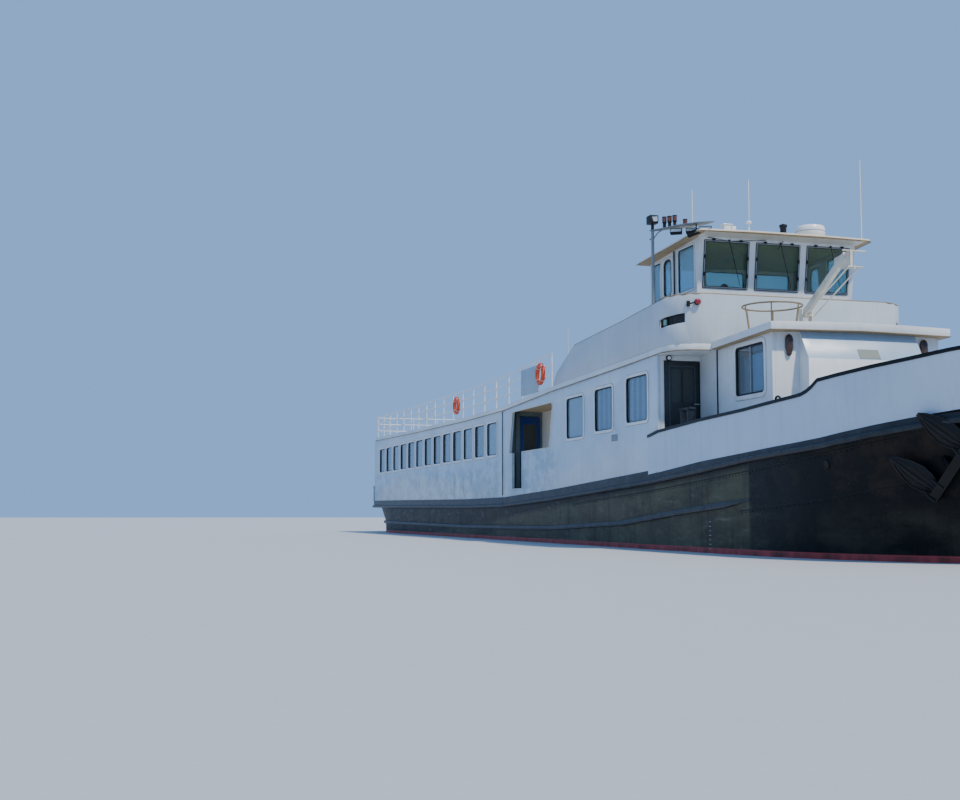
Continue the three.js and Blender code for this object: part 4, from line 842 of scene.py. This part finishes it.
# Things seen through the glass: wheel, helm seat, compass, dash and a ceiling beam
wheelLook = {"hub": (5.93, 0, 3.19), "tilt": 65, "radius": 0.2, "thick": 0.014, "spokes": 6}
hub = Vector(wheelLook["hub"])
lean = Matrix.Rotation(math.radians(wheelLook["tilt"]), 4, "Y")
wheel = [startRing("wheel", Matrix.Translation(hub) @ lean, wheelLook["radius"], wheelLook["thick"])]
for i in range(wheelLook["spokes"]):
    a = 2 * math.pi * i / wheelLook["spokes"]
    tip = hub + Vector((0.08 * math.cos(a), 0.2 * math.sin(a), 0.18 * math.cos(a)))
    wheel.append(startBar("spoke", hub, tip, 0.009, 8))
wheel.append(startBar("hub", (5.9, 0, 3.18), (6.02, 0, 3.15), 0.025, 12))
addPart("helm_wheel", wheel, varnishedWood, "door_dark")
seat = [startBox("seat", (5.36, -0.22, 2.98), (5.72, 0.22, 3.06)),
        startBox("back", (5.34, -0.2, 3.06), (5.42, 0.2, 3.5)),
        startBar("stem", (5.55, 0, 2.46), (5.55, 0, 2.98), 0.04, 12)]
addPart("helm_seat", [roundEdges(piece, 0.02) for piece in seat], doorDark, "door_dark")
compass = [startBar("base", (6.38, -0.66, 3.2), (6.38, -0.66, 3.31), 0.05),
           startBall("dome", (6.38, -0.66, 3.32), (0.1, 0.1, 0.09))]
addPart("helm_compass", compass, ironBlack, "black_iron")
lining = [startBox("dash", (6.3, -1.04, 3.235), (6.455, 1.04, 3.262)),
          startBox("beam", (5.1, -0.36, 3.77), (6.44, -0.3, 3.825))]
addPart("wheelhouse_lining", lining, cabinGreen, "door_dark")

# Roof: pale lining under the fore edge, rain bead, wiring, housings and small aerials
roofLook = {"aft": 5.06, "top": 3.8604, "slope": 0.055, "thick": 0.028, "bead": 0.006,
            "edge": [(4.99, -1.28), (6.8, -1.218), (6.842, -1.17), (6.882, -0.5)]}


def roofTop(x):
    return roofLook["top"] + (x - roofLook["aft"]) * roofLook["slope"]


for name, low, high, material in (
        ("wheelhouse_front_lining", (6.62, -1.12, -0.004), (6.835, 1.12, -0.0008), frameCream),
        ("wheelhouse_ceiling", (5.1, -1.05, -0.008), (6.46, 1.05, -0.001), cabinOlive)):
    board = startBox(name, low, high)
    tilt = Matrix.Rotation(-math.atan(roofLook["slope"]), 4, "Y")
    board.matrix_world = Matrix.Translation((0, 0, roofTop(0) - roofLook["thick"])) @ tilt
    addPart(name, [board], material, "roof_paint")
bead = [(x, y, roofTop(x) - 0.026) for x, y in bothHalves(roofLook["edge"])]
addPart("wheelhouse_roof_bead", [pipeAlong("bead", bead, roofLook["bead"])], dripTanAndShadow, "roof_paint")
wiring = [([(6.62, -0.98, 3.9), (6.6, -0.78, 3.885), (6.6, -0.7, 3.872), (6.61, -0.5, 3.885),
            (6.62, -0.3, 3.895), (6.62, -0.18, 3.912)], 0.004),
          ([(6.6, 0.05, 3.93), (6.618, 0.06, 3.9), (6.61, 0.02, 3.84), (6.612, -0.02, 3.8)], 0.004),
          ([(6.56, -1.08, 3.88), (6.585, -1.0, 3.9), (6.62, -0.98, 3.9)], 0.005)]
wiring += [([(5.87, side * 1.118, z) for z in (2.6, 3.86)], 0.011) for side in sides.values()]
addPart("wheelhouse_wiring", [pipeAlong("cable", *row) for row in wiring], rubberBlack, "cap_paint")

z = roofTop(6.77)
gear = [startBox("housing", (6.71, -0.86, z - 0.003), (6.81, -0.76, z + 0.085)),
        startBox("housing", (6.72, -0.75, z - 0.003), (6.8, -0.69, z + 0.07)),
        startBox("lid", (6.7, -0.875, z + 0.075), (6.82, -0.745, z + 0.09))]
gear = [roundEdges(piece, 0.008) for piece in gear]
gear += [startBar("stem", (6.77, -0.5, z - 0.003), (6.77, -0.5, z + 0.12), 0.009, 12),
         startBall("cap", (6.77, -0.5, z + 0.13), (0.075, 0.075, 0.045), 10)]
addPart("roof_aerials", gear, plasticWhite, "white_plastic")
seam = startRing("seam", Matrix.Translation((6.57, 0.48, 4.062)), 0.188, 0.0035, 48)
addPart("radome_seam", [seam], sealant, "white_plastic")
x, y, z = 6.6, 0.075, roofTop(6.6)
lantern = [startRing("band", Matrix.Translation((x, y, z + rise)), 0.041, 0.005) for rise in (0.075, 0.15)]
lantern += [startBar("cap", (x, y, z + 0.176), (x, y, z + 0.196), 0.035, 16, 0.012),
            startBar("bracket", (x, y, z + 0.03), (6.66, y, z), 0.008, 8)]
addPart("searchlight_trim", lantern, ironBlack, "black_iron")

# Light post: dark flood lamp, signal lamps on thin stalks and small floods slung under the arm. A place on
# the arm is its share of the arm's length, how far up and how far aside
postLook = {"x": 6.2, "y": -1.56, "top": 4.045, "endX": 6.89, "endY": -1.04, "turn": -30,
            "signals": ((0.2, 0.14), (0.285, 0.14), (0.37, 0.14), (0.54, 0.07))}


def onArm(t, rise=0.0, aside=0.0):
    x = postLook["x"] + (postLook["endX"] - postLook["x"]) * t + aside * 0.6
    y = postLook["y"] + (postLook["endY"] - postLook["y"]) * t - aside * 0.8
    return Vector((x, y, postLook["top"] + rise))


# Floods: place, breadth, height and depth, and how far it is tipped
floods = (((6.268, -1.56, 4.177), (0.095, 0.08, 0.02), 12),
          (onArm(0.42, -0.06, 0.05), (0.15, 0.065, 0.05), -30),
          (onArm(0.62, -0.06, -0.03), (0.14, 0.06, 0.05), -25),
          (onArm(0.86, -0.075), (0.16, 0.06, 0.05), -15))
dark, lenses, amber = [], [], []
turn = Matrix.Rotation(math.radians(postLook["turn"]), 4, "Z")
for middle, (wide, high, deep), tip in floods:
    place = Matrix.Translation(middle) @ turn @ facing("fore", (0, 0, 0), tip)
    dark.append(roundPlate("body", wide, high, 0.01, deep, place @ Matrix.Translation((0, 0, -deep))))
    roundEdges(dark[-1], 0.006)
    dark.append(roundRing("rim", wide, high, 0.012, 0.009, 0.006, place, 0.002))
    lenses.append(roundPlate("lens", wide - 0.014, high - 0.014, 0.008, 0.003, place))
dark.append(startBar("barrel", onArm(0.6, -0.135, 0.02), onArm(0.78, -0.1, 0.02), 0.036))
dark.append(startBar("drop", onArm(0.73, -0.1, 0.02), onArm(0.73, -0.01, 0.02), 0.008, 8))
for t, rise in postLook["signals"]:
    dark.append(startBar("cap", onArm(t, rise - 0.004), onArm(t, rise + 0.008), 0.03))
    dark.append(startBar("foot", onArm(t, rise - 0.075), onArm(t, rise - 0.06), 0.028))
    amber.append(startBar("lens", onArm(t, rise - 0.06), onArm(t, rise - 0.004), 0.029))
addPart("light_post_lamps", dark, ironBlack, "galvanised")
addPart("light_post_lenses", lenses, lampClear, "glass")
addPart("signal_lenses", amber, lampAmber, "glass")
brace = [(6.2, -1.56, 3.86), (6.215, -1.549, 3.94), (6.26, -1.515, 4.0), onArm(0.16, -0.016)]
clip = startBar("clip", (6.2, -1.56, 3.93), (6.17, -1.585, 3.93), 0.012, 10)
addPart("light_post_brace", [pipeAlong("brace", brace, 0.008), clip], postGrey, "galvanised")

# Side lights behind the slots of the screen's corners, set round the middle of each corner
slotLook = {"middle": (6.6, 1.262, 2.8), "radius": 0.33, "turns": (4, 18, 32, 46, 58),
            "half": (0.06, 0.004, 0.115), "board": ((6.3, 6.62), (1.588, 1.596), (2.685, 2.915)),
            "light": (14, 0.365, 2.745)}
boards = []


def inCorner(side, degrees, radius, z):
    x, y, _ = slotLook["middle"]
    a = math.radians(degrees)
    return Vector((x + radius * math.sin(a), side * (y + radius * math.cos(a)), z))


half, rise = Vector(slotLook["half"]), Vector((0, 0, 1))
for tag, side in sides.items():
    for degrees in slotLook["turns"]:
        place = Matrix.Translation(inCorner(side, degrees, slotLook["radius"], slotLook["middle"][2]))
        turn = Matrix.Rotation(math.radians(-side * degrees), 4, "Z")
        boards.append(applyPlace(startBox("plate", -half, half), place @ turn))
    boards.append(sideBox("plate", side, *slotLook["board"]))
    at = inCorner(side, *slotLook["light"])
    light = startBar("light", at, at + rise * 0.07, 0.024)
    boards.append(startBar("cap", at + rise * 0.07, at + rise * 0.085, 0.027))
    boards.append(startBar("stand", at - rise * 0.04, at, 0.02, 12))
    name, lens = {"stbd": ("side_light_green", lampGreen), "port": ("side_light_red", lampRed)}[tag]
    addPart(name, [light], lens, "glass")
addPart("side_light_boards", boards, tarBlackAndShade, "black_iron")

# The red signal lamp on its bracket at the starboard corner of the screen
bracket = [pipeAlong("arm", [(6.968, -1.44, 2.985), (7.0, -1.41, 2.985), (7.025, -1.37, 3.0)], 0.009),
           startBar("clamp", (6.972, -1.44, 2.95), (6.972, -1.44, 3.015), 0.022, 12),
           startBar("rim", (7.004, -1.336, 3.003), (7.02, -1.336, 3.003), 0.041, 24)]
addPart("signal_bracket", bracket, ironBlack, "black_iron")
lamp = [startBar("lamp", (7.01, -1.336, 3.003), (7.032, -1.336, 3.003), 0.038, 24),
        startBall("lens", (7.032, -1.336, 3.003), (0.03, 0.076, 0.076))]
addPart("signal_lamp", lamp, lampRed, "glass")
print("wheelhouse fitted out")


# Fore deck house: side windows with a sliding sash, a curtain and behind them a black sheet that is painted
# shade of the room
foreSide = {**cabinWindow, "lap": 0.05, "radius": 0.1, "reveal": 0.022, "low": 7.465, "high": 8.16,
            "sill": 1.808, "head": 2.388, "y": 1.075, "sashHalf": 0.012, "sashOut": (1.052, 1.066),
            "curtainOut": (1.0, 1.004), "room": ((7.1, 8.3), (0.7, 0.71), (1.5, 2.4))}
rows, sashes, curtains, room = [], [], [], []
low, high, sill, head = (foreSide[key] for key in ("low", "high", "sill", "head"))
middle, half = (low + high) / 2, foreSide["sashHalf"]
for tag, side in sides.items():
    place = facing(tag, (middle, side * foreSide["y"], (sill + head) / 2))
    rows.append(windowParts(place, high - low, head - sill, foreSide, 0.05))
    sashes.append(sideBox("sash", side, (middle - half, middle + half), foreSide["sashOut"],
                          (sill + 0.02, head - 0.02)))
    curtains.append(sideBox("curtain", side, (middle - 0.06, high - 0.05), foreSide["curtainOut"],
                            (sill - 0.02, head - 0.11)))
    room.append(sideBox("bulkhead", side, *foreSide["room"]))
fitWindows("forehouse", rows)
addPart("forehouse_sashes", sashes, frameGrey, "white_paint")
addPart("forehouse_curtains", curtains, skyBlind, "glass")
addPart("forehouse_dark_room", room, tarBlackAndShade, "door_dark")

# Wooden clogs as ornaments. Rows: middle, size and rings of the body, heel, tip and the dark well inside,
# black as painted shade in the hollow
clogRows = [((8.366, 0.87, 2.32), (0.064, 0.098, 0.23), 14), ((8.366, 0.868, 2.375), (0.066, 0.1, 0.14), 12),
            ((8.37, 0.873, 2.24), (0.046, 0.07, 0.09), 10), ((8.397, 0.868, 2.39), (0.014, 0.05, 0.07), 10)]
clogs = [[startBall("clog", onSide(side, [middle])[0], size, rings) for side in sides.values()]
         for middle, size, rings in clogRows]
addPart("clog_ornaments", clogs[0] + clogs[1] + clogs[2], varnishedWood, "door_dark")
addPart("clog_wells", clogs[3], tarBlackAndShade, "door_dark")

# A blank plate on the leaning front, held by four screws
bayPlate = {"place": (8.521, 0.045, 2.228), "wide": 0.265, "high": 0.13, "thick": 0.004,
            "screws": (0.12, 0.05), "lean": (0.19, 0.325)}
place = facing("fore", bayPlate["place"], -math.degrees(math.atan2(*bayPlate["lean"])))
plate = roundPlate("plate", bayPlate["wide"], bayPlate["high"], 0.008, bayPlate["thick"], place)
addPart("blank_plate", [roundEdges(plate, 0.001, 1)], boardGrey, "galvanised")
acrossBy, upBy = bayPlate["screws"]
screws = [startBall("screw", place @ Vector((x, y, 0.005)), (0.008, 0.008, 0.008), 6)
          for x in (-acrossBy, acrossBy) for y in (-upBy, upBy)]
addPart("plate_screws", screws, aluminium, "galvanised")

# Drip bead below the fascia, its brown partly rust and partly the painted shadow line under the fascia, and a
# pipe on the roof
bead = bothHalves([(7.02, -1.152, 2.4315), (8.474, -1.152, 2.4765)])
bead.insert(2, (8.477, 0, 2.4965))
addPart("forehouse_drip_edge", [pipeAlong("bead", bead, 0.006)], dripTanAndShadow, "roof_paint")
pipe = [(7.6, 0.12, 2.62), (7.62, 0.16, 2.642), (7.7, 0.9, 2.63), (7.7, 0.98, 2.6)]
addPart("fore_roof_pipe", [pipeAlong("pipe", pipe, 0.012)], railWhite, "roof_paint")

# Fore doors: lighter panels, window and handle, with a round lamp above
foreDoor = {"place": (6.484, 1.3075, 1.85), "panel": (0.36, 0.86), "pane": (0.3, 0.42), "paneUp": 0.18,
            "handle": [(6.484, 1.1, 1.8), (6.52, 1.1, 1.8), (6.52, 1.17, 1.8)],
            "lamp": [(6.502, 1.5, 2.37), (6.53, 1.5, 2.37)]}
for tag, side in sides.items():
    body = "fore_door_" + tag
    place = facing("fore", onSide(side, [foreDoor["place"]])[0])
    panel = roundRing("panel", *foreDoor["panel"], 0.02, 0.014, 0.004, place, 0.001)
    panePlace = place @ Matrix.Translation((0, foreDoor["paneUp"], 0))
    pane = roundPlate("pane", *foreDoor["pane"], 0.03, 0.003, panePlace)
    handle = pipeAlong("handle", onSide(side, foreDoor["handle"]), 0.008)
    addPart("fore_door_panel_" + tag, [panel], doorPanel, "door_dark", body)
    addPart("fore_door_pane_" + tag, [pane], darkPane, "glass", body)
    addPart("fore_door_handle_" + tag, [handle], aluminium, "galvanised", body)
lamps, globes = [], []
for side in sides.values():
    back, front = onSide(side, foreDoor["lamp"])
    lamps.append(startBar("lamp", back, front, 0.034, 20))
    globes.append(startBall("globe", front, (0.04, 0.05, 0.05)))
addPart("bulkhead_lamps", lamps, ironBlack, "black_iron")
addPart("bulkhead_globes", globes, lampClear, "glass")

# Hooks on the rail cap
hook = [(9.47, 1.6, 1.585), (9.455, 1.6, 1.62), (9.42, 1.6, 1.635), (9.38, 1.6, 1.63), (9.365, 1.6, 1.61)]
hooks = [pipeAlong("hook", onSide(side, hook), 0.012) for side in sides.values()]
addPart("cap_hooks", hooks, ironBlack, "cap_paint")
print("fore ship fitted out")


# Railings as round tubes on flanged posts
railLook = {"rows": (0.185, 0.355, 0.513), "half": 1.622, "posts": 18, "inset": 0.015,
            "stops": (-11.05, -9.0, -7.0, -4.75, -2.5, -1.0, 0, 1.2, 2.45), "tube": 0.0105, "post": 0.011,
            "tall": 0.522, "flange": 0.03, "flangeThick": 0.008}
aftRail = {"corner": (-11.12, -1.362, 0.26), "start": -11.062, "post": -11.078, "x": -11.38,
           "ys": (-1.25, -0.625, 0, 0.625, 1.25)}


def railPost(x, y):
    top = deckTop(x)
    return [startBar("post", (x, y, top), (x, y, top + railLook["tall"]), railLook["post"], 10),
            startBar("flange", (x, y, top), (x, y, top + railLook["flangeThick"]), railLook["flange"], 12)]


def fitRailing(tag, plan, places):
    parts = [pipeAlong("tube", [(x, y, deckTop(x) + rise) for x, y in plan], railLook["tube"])
             for rise in railLook["rows"]]
    for x, y in places:
        parts += railPost(x, y)
    node = "railing_" + tag
    addPart("railing_tubes_" + tag, parts, railWhite, slotOf[node], "root", node)


stops, count = railLook["stops"], railLook["posts"]
first, last = stops[0] + railLook["inset"], stops[-1] - railLook["inset"]
for tag, side in sides.items():
    y = side * railLook["half"]
    fitRailing(tag, [(x, y) for x in stops],
               [(first + (last - first) * i / count, y) for i in range(count + 1)])
fitRailing("aft", bothHalves([(aftRail["start"], -railLook["half"])] + arc(*aftRail["corner"], -90, -180)),
           [(aftRail["post"], -railLook["half"])] + [(aftRail["x"], y) for y in aftRail["ys"]]
           + [(aftRail["post"], railLook["half"])])

# Lifebuoys and a blank board hung on the railings
buoyLook = {"places": (1.98, -3.16), "y": 1.66, "up": 0.27, "radius": 0.145, "thick": 0.034, "bands": 4,
            "band": 0.0335, "bandThick": 0.006}
boardLook = {"box": ((0.95, 1.84), (1.636, 1.65), (2.37, 2.8)), "edge": 0.004}
rings, bands, boards = [], [], []
for side in sides.values():
    upright = Matrix.Rotation(math.pi / 2, 4, "X")
    for x in buoyLook["places"]:
        place = Matrix.Translation((x, side * buoyLook["y"], deckTop(x) + buoyLook["up"])) @ upright
        rings.append(startRing("ring", place, buoyLook["radius"], buoyLook["thick"], 40))
        for i in range(buoyLook["bands"]):
            turn = Matrix.Rotation(math.radians(45 + 90 * i), 4, "Z")
            band = place @ turn @ Matrix.Translation((buoyLook["radius"], 0, 0)) @ upright
            bands.append(startRing("band", band, buoyLook["band"], buoyLook["bandThick"], 20))
    boards.append(roundEdges(sideBox("board", side, *boardLook["box"]), boardLook["edge"]))
addPart("lifebuoys", rings, lifebuoyOrange, "rail_paint")
addPart("lifebuoy_bands", bands, ropeWhite, "rail_paint")
addPart("blank_boards", boards, boardPale, "roof_paint")
print("upper deck fitted out")


# Hull: lapped seams with rivets, draught ticks and outlets, their holes black discs as painted shade
seamLook = {"rows": [[(3.41, 0.586), (6.21, 0.723), (7.67, 0.814), (8.77, 0.887), (10.14, 1.01),
                      (11.2, 1.132)], [(8.64, 0.467), (10.13, 0.578), (11.07, 0.707)]],
            "step": 0.24, "lap": 0.006, "rivetStart": 0.04, "rivetStep": 0.075, "rivetDown": 0.022,
            "rivet": (0.015, 0.012, 0.015)}
bpy.context.view_layer.update()


def onHull(x, z, side, out=0.0):
    found, place, normal, face = hullFinish.ray_cast(Vector((x, side * 4, z)), Vector((0, -side, 0)))
    return place + normal * out if found else None


def spaced(start, end, step):
    places = []
    while start <= end:
        places.append(start)
        start += step
    return places


laps, rivets = [], []
for side in sides.values():
    for seam in seamLook["rows"]:
        start, end = seam[0][0], seam[-1][0]
        points = [onHull(x, heightAt(seam, x), side, 0.001) for x in spaced(start, end, seamLook["step"])]
        laps.append(pipeAlong("lap", [p for p in points if p], seamLook["lap"], resolution=1))
        for x in spaced(start + seamLook["rivetStart"], end, seamLook["rivetStep"]):
            at = onHull(x, heightAt(seam, x) - seamLook["rivetDown"], side)
            if at:
                rivets.append(startBall("rivet", at, seamLook["rivet"], 4))
addPart("hull_seams", laps + rivets, capBlackAndHoleShade, "hull_paint")

tickLook = {"x": 7.91, "first": 0.05, "step": 0.05, "count": 7, "even": (0.02, 0.0012, 0.004),
            "odd": (0.03, 0.0012, 0.004)}
outletLook = {"x": 10.2, "z": 0.911, "hole": 0.036, "rim": (0.042, 0.006)}
ticks, shadedHoles, rims = [], [], []
for side in sides.values():
    for i in range(tickLook["count"]):
        at = onHull(tickLook["x"], tickLook["first"] + i * tickLook["step"], side, 0.0015)
        half = Vector(tickLook["odd" if i % 2 else "even"])
        ticks.append(startBox("tick", at - half, at + half))
    at = onHull(outletLook["x"], outletLook["z"], side, 0.002)
    away = (onHull(outletLook["x"], outletLook["z"], side, 1) - at).normalized()
    turn = away.to_track_quat("Z", "Y").to_matrix().to_4x4()
    shadedHoles.append(startBar("hole", at - away * 0.004, at + away * 0.0012, outletLook["hole"], 24))
    rims.append(startRing("rim", Matrix.Translation(at) @ turn, *outletLook["rim"]))
addPart("draught_ticks", ticks, sealant, "hull_paint")
addPart("hull_outlets", shadedHoles, capBlackAndHoleShade, "hull_paint")
addPart("hull_outlet_rims", rims, anchorBlack, "hull_paint")

# Anchors: rolled rims, ribs and webs on each fluke. Rows: distance from the crown, breadth and thickness
anchorLook = {"place": (11.524, -1.0806, 0.821), "out": (0.6, -1, -0.42), "up": (-0.678, -0.716, 0.735),
              "flukes": (-0.255, 0.255), "rim": 0.009, "ribs": {-0.22: 0.007, 0: 0.011, 0.22: 0.007},
              "webs": (-0.075, 0.075), "web": 0.01,
              "rows": [(0.03, 0.1, 0.06), (0.12, 0.196, 0.056), (0.22, 0.232, 0.052), (0.33, 0.19, 0.044),
                       (0.44, 0.1, 0.032), (0.5, 0.024, 0.016)]}
out, rise = Vector(anchorLook["out"]).normalized(), Vector(anchorLook["up"]).normalized()
turn = Matrix(((-out).cross(rise), -out, rise)).transposed().to_4x4()
place = Matrix.Translation(anchorLook["place"]) @ turn
rods = []
for middle in anchorLook["flukes"]:
    left = [(middle - wide / 2, 0, high) for high, wide, thick in anchorLook["rows"]]
    right = [(middle + wide / 2, 0, high) for high, wide, thick in reversed(anchorLook["rows"])]
    rods.append((left + right, anchorLook["rim"]))
    for part, rib in anchorLook["ribs"].items():
        rods.append(([(middle + wide * part, -thick * (0.5 - abs(part)) - 0.001, high)
                      for high, wide, thick in anchorLook["rows"]], rib))
    for edge in anchorLook["webs"]:
        rods.append(([(middle + edge, -0.056, -0.03), (middle + edge, -0.056, 0.035),
                      (middle + edge * 0.9, -0.026, 0.1)], anchorLook["web"]))
ribs = joinPieces("anchor_ribs_stbd", [pipeAlong("rod", [place @ Vector(p) for p in row], thick)
                                       for row, thick in rods])
for piece in (ribs, mirrorPiece(ribs, "anchor_ribs_port")):
    finishPiece(coat(piece, ironBlack), "root", slotOf["anchor_stbd"])

# Stern: windows with curtains, and the glass and handle of its door
sternLook = {"x": -11.3, "ys": (-0.85, 0.85), "z": 1.6, "wide": 0.4, "tall": 0.5, "curtainX": -11.2525,
             "curtain": (0.0025, 0.24, 0.28)}
aftDoor = {"place": (-11.284, 0, 1.565), "pane": (0.276, 0.426), "sunk": 0.012, "rim": (0.3, 0.45),
           "handle": [(-11.284, 0.16, 1.3), (-11.32, 0.16, 1.3), (-11.32, 0.1, 1.3)]}
rows, curtains = [], []
for y in sternLook["ys"]:
    place = facing("aft", (sternLook["x"], y, sternLook["z"]))
    rows.append(windowParts(place, sternLook["wide"], sternLook["tall"], cabinWindow, 0.05))
    middle, half = Vector((sternLook["curtainX"], y, sternLook["z"])), Vector(sternLook["curtain"])
    curtains.append(startBox("curtain", middle - half, middle + half))
fitWindows("stern", rows)
addPart("stern_curtains", curtains, openCurtain, "glass")
place = facing("aft", aftDoor["place"])
pane = roundPlate("pane", *aftDoor["pane"], 0.02, 0.005, place @ Matrix.Translation((0, 0, -aftDoor["sunk"])))
addPart("aft_door_pane", [pane], cabinGlass, "glass", "aft_door")
rim = roundRing("rim", *aftDoor["rim"], 0.03, 0.016, 0.006, place, 0.002)
addPart("aft_door_rim", [rim], rubberBlack, "cap_paint", "aft_door")
handle = pipeAlong("handle", aftDoor["handle"], 0.007)
addPart("aft_door_handle", [handle], aluminium, "galvanised", "aft_door")
print("hull and stern fitted out")


# Studio: pale floor at the waterline, warm key from ahead to port, cool sky over the starboard side
studio = {"floor": 400, "sky": "#8ab6f2", "skyPower": 1.0, "key": 4.1, "keyColor": (1.0, 0.91, 0.76),
          "keyFrom": (0.5, 0.25, 0.88), "keySoft": 3}
# Rolled floor paint: pale, matt and nearly even
floorPale = plainCoat("studioFloorPaint", "#b9bcbf", "#b2b5b8", 0.3, rough=(0.55, 0.7))


def setStudio(look):
    clearSelection()
    bpy.ops.mesh.primitive_plane_add(size=look["floor"])
    coat(newest("studioFloor"), floorPale)
    world = bpy.data.worlds.new("paleSky")
    world.use_nodes = True
    back = world.node_tree.nodes["Background"].inputs
    back["Color"].default_value = hexColor(look["sky"])
    back["Strength"].default_value = look["skyPower"]
    bpy.context.scene.world = world
    bpy.ops.object.light_add(type="SUN")
    key = newest("keyLight")
    key.data.energy = look["key"]
    key.data.color = look["keyColor"]
    key.data.angle = math.radians(look["keySoft"])
    key.rotation_mode = "QUATERNION"
    key.rotation_quaternion = Vector(look["keyFrom"]).to_track_quat("Z", "Y")


setStudio(studio)
print("studio lit")
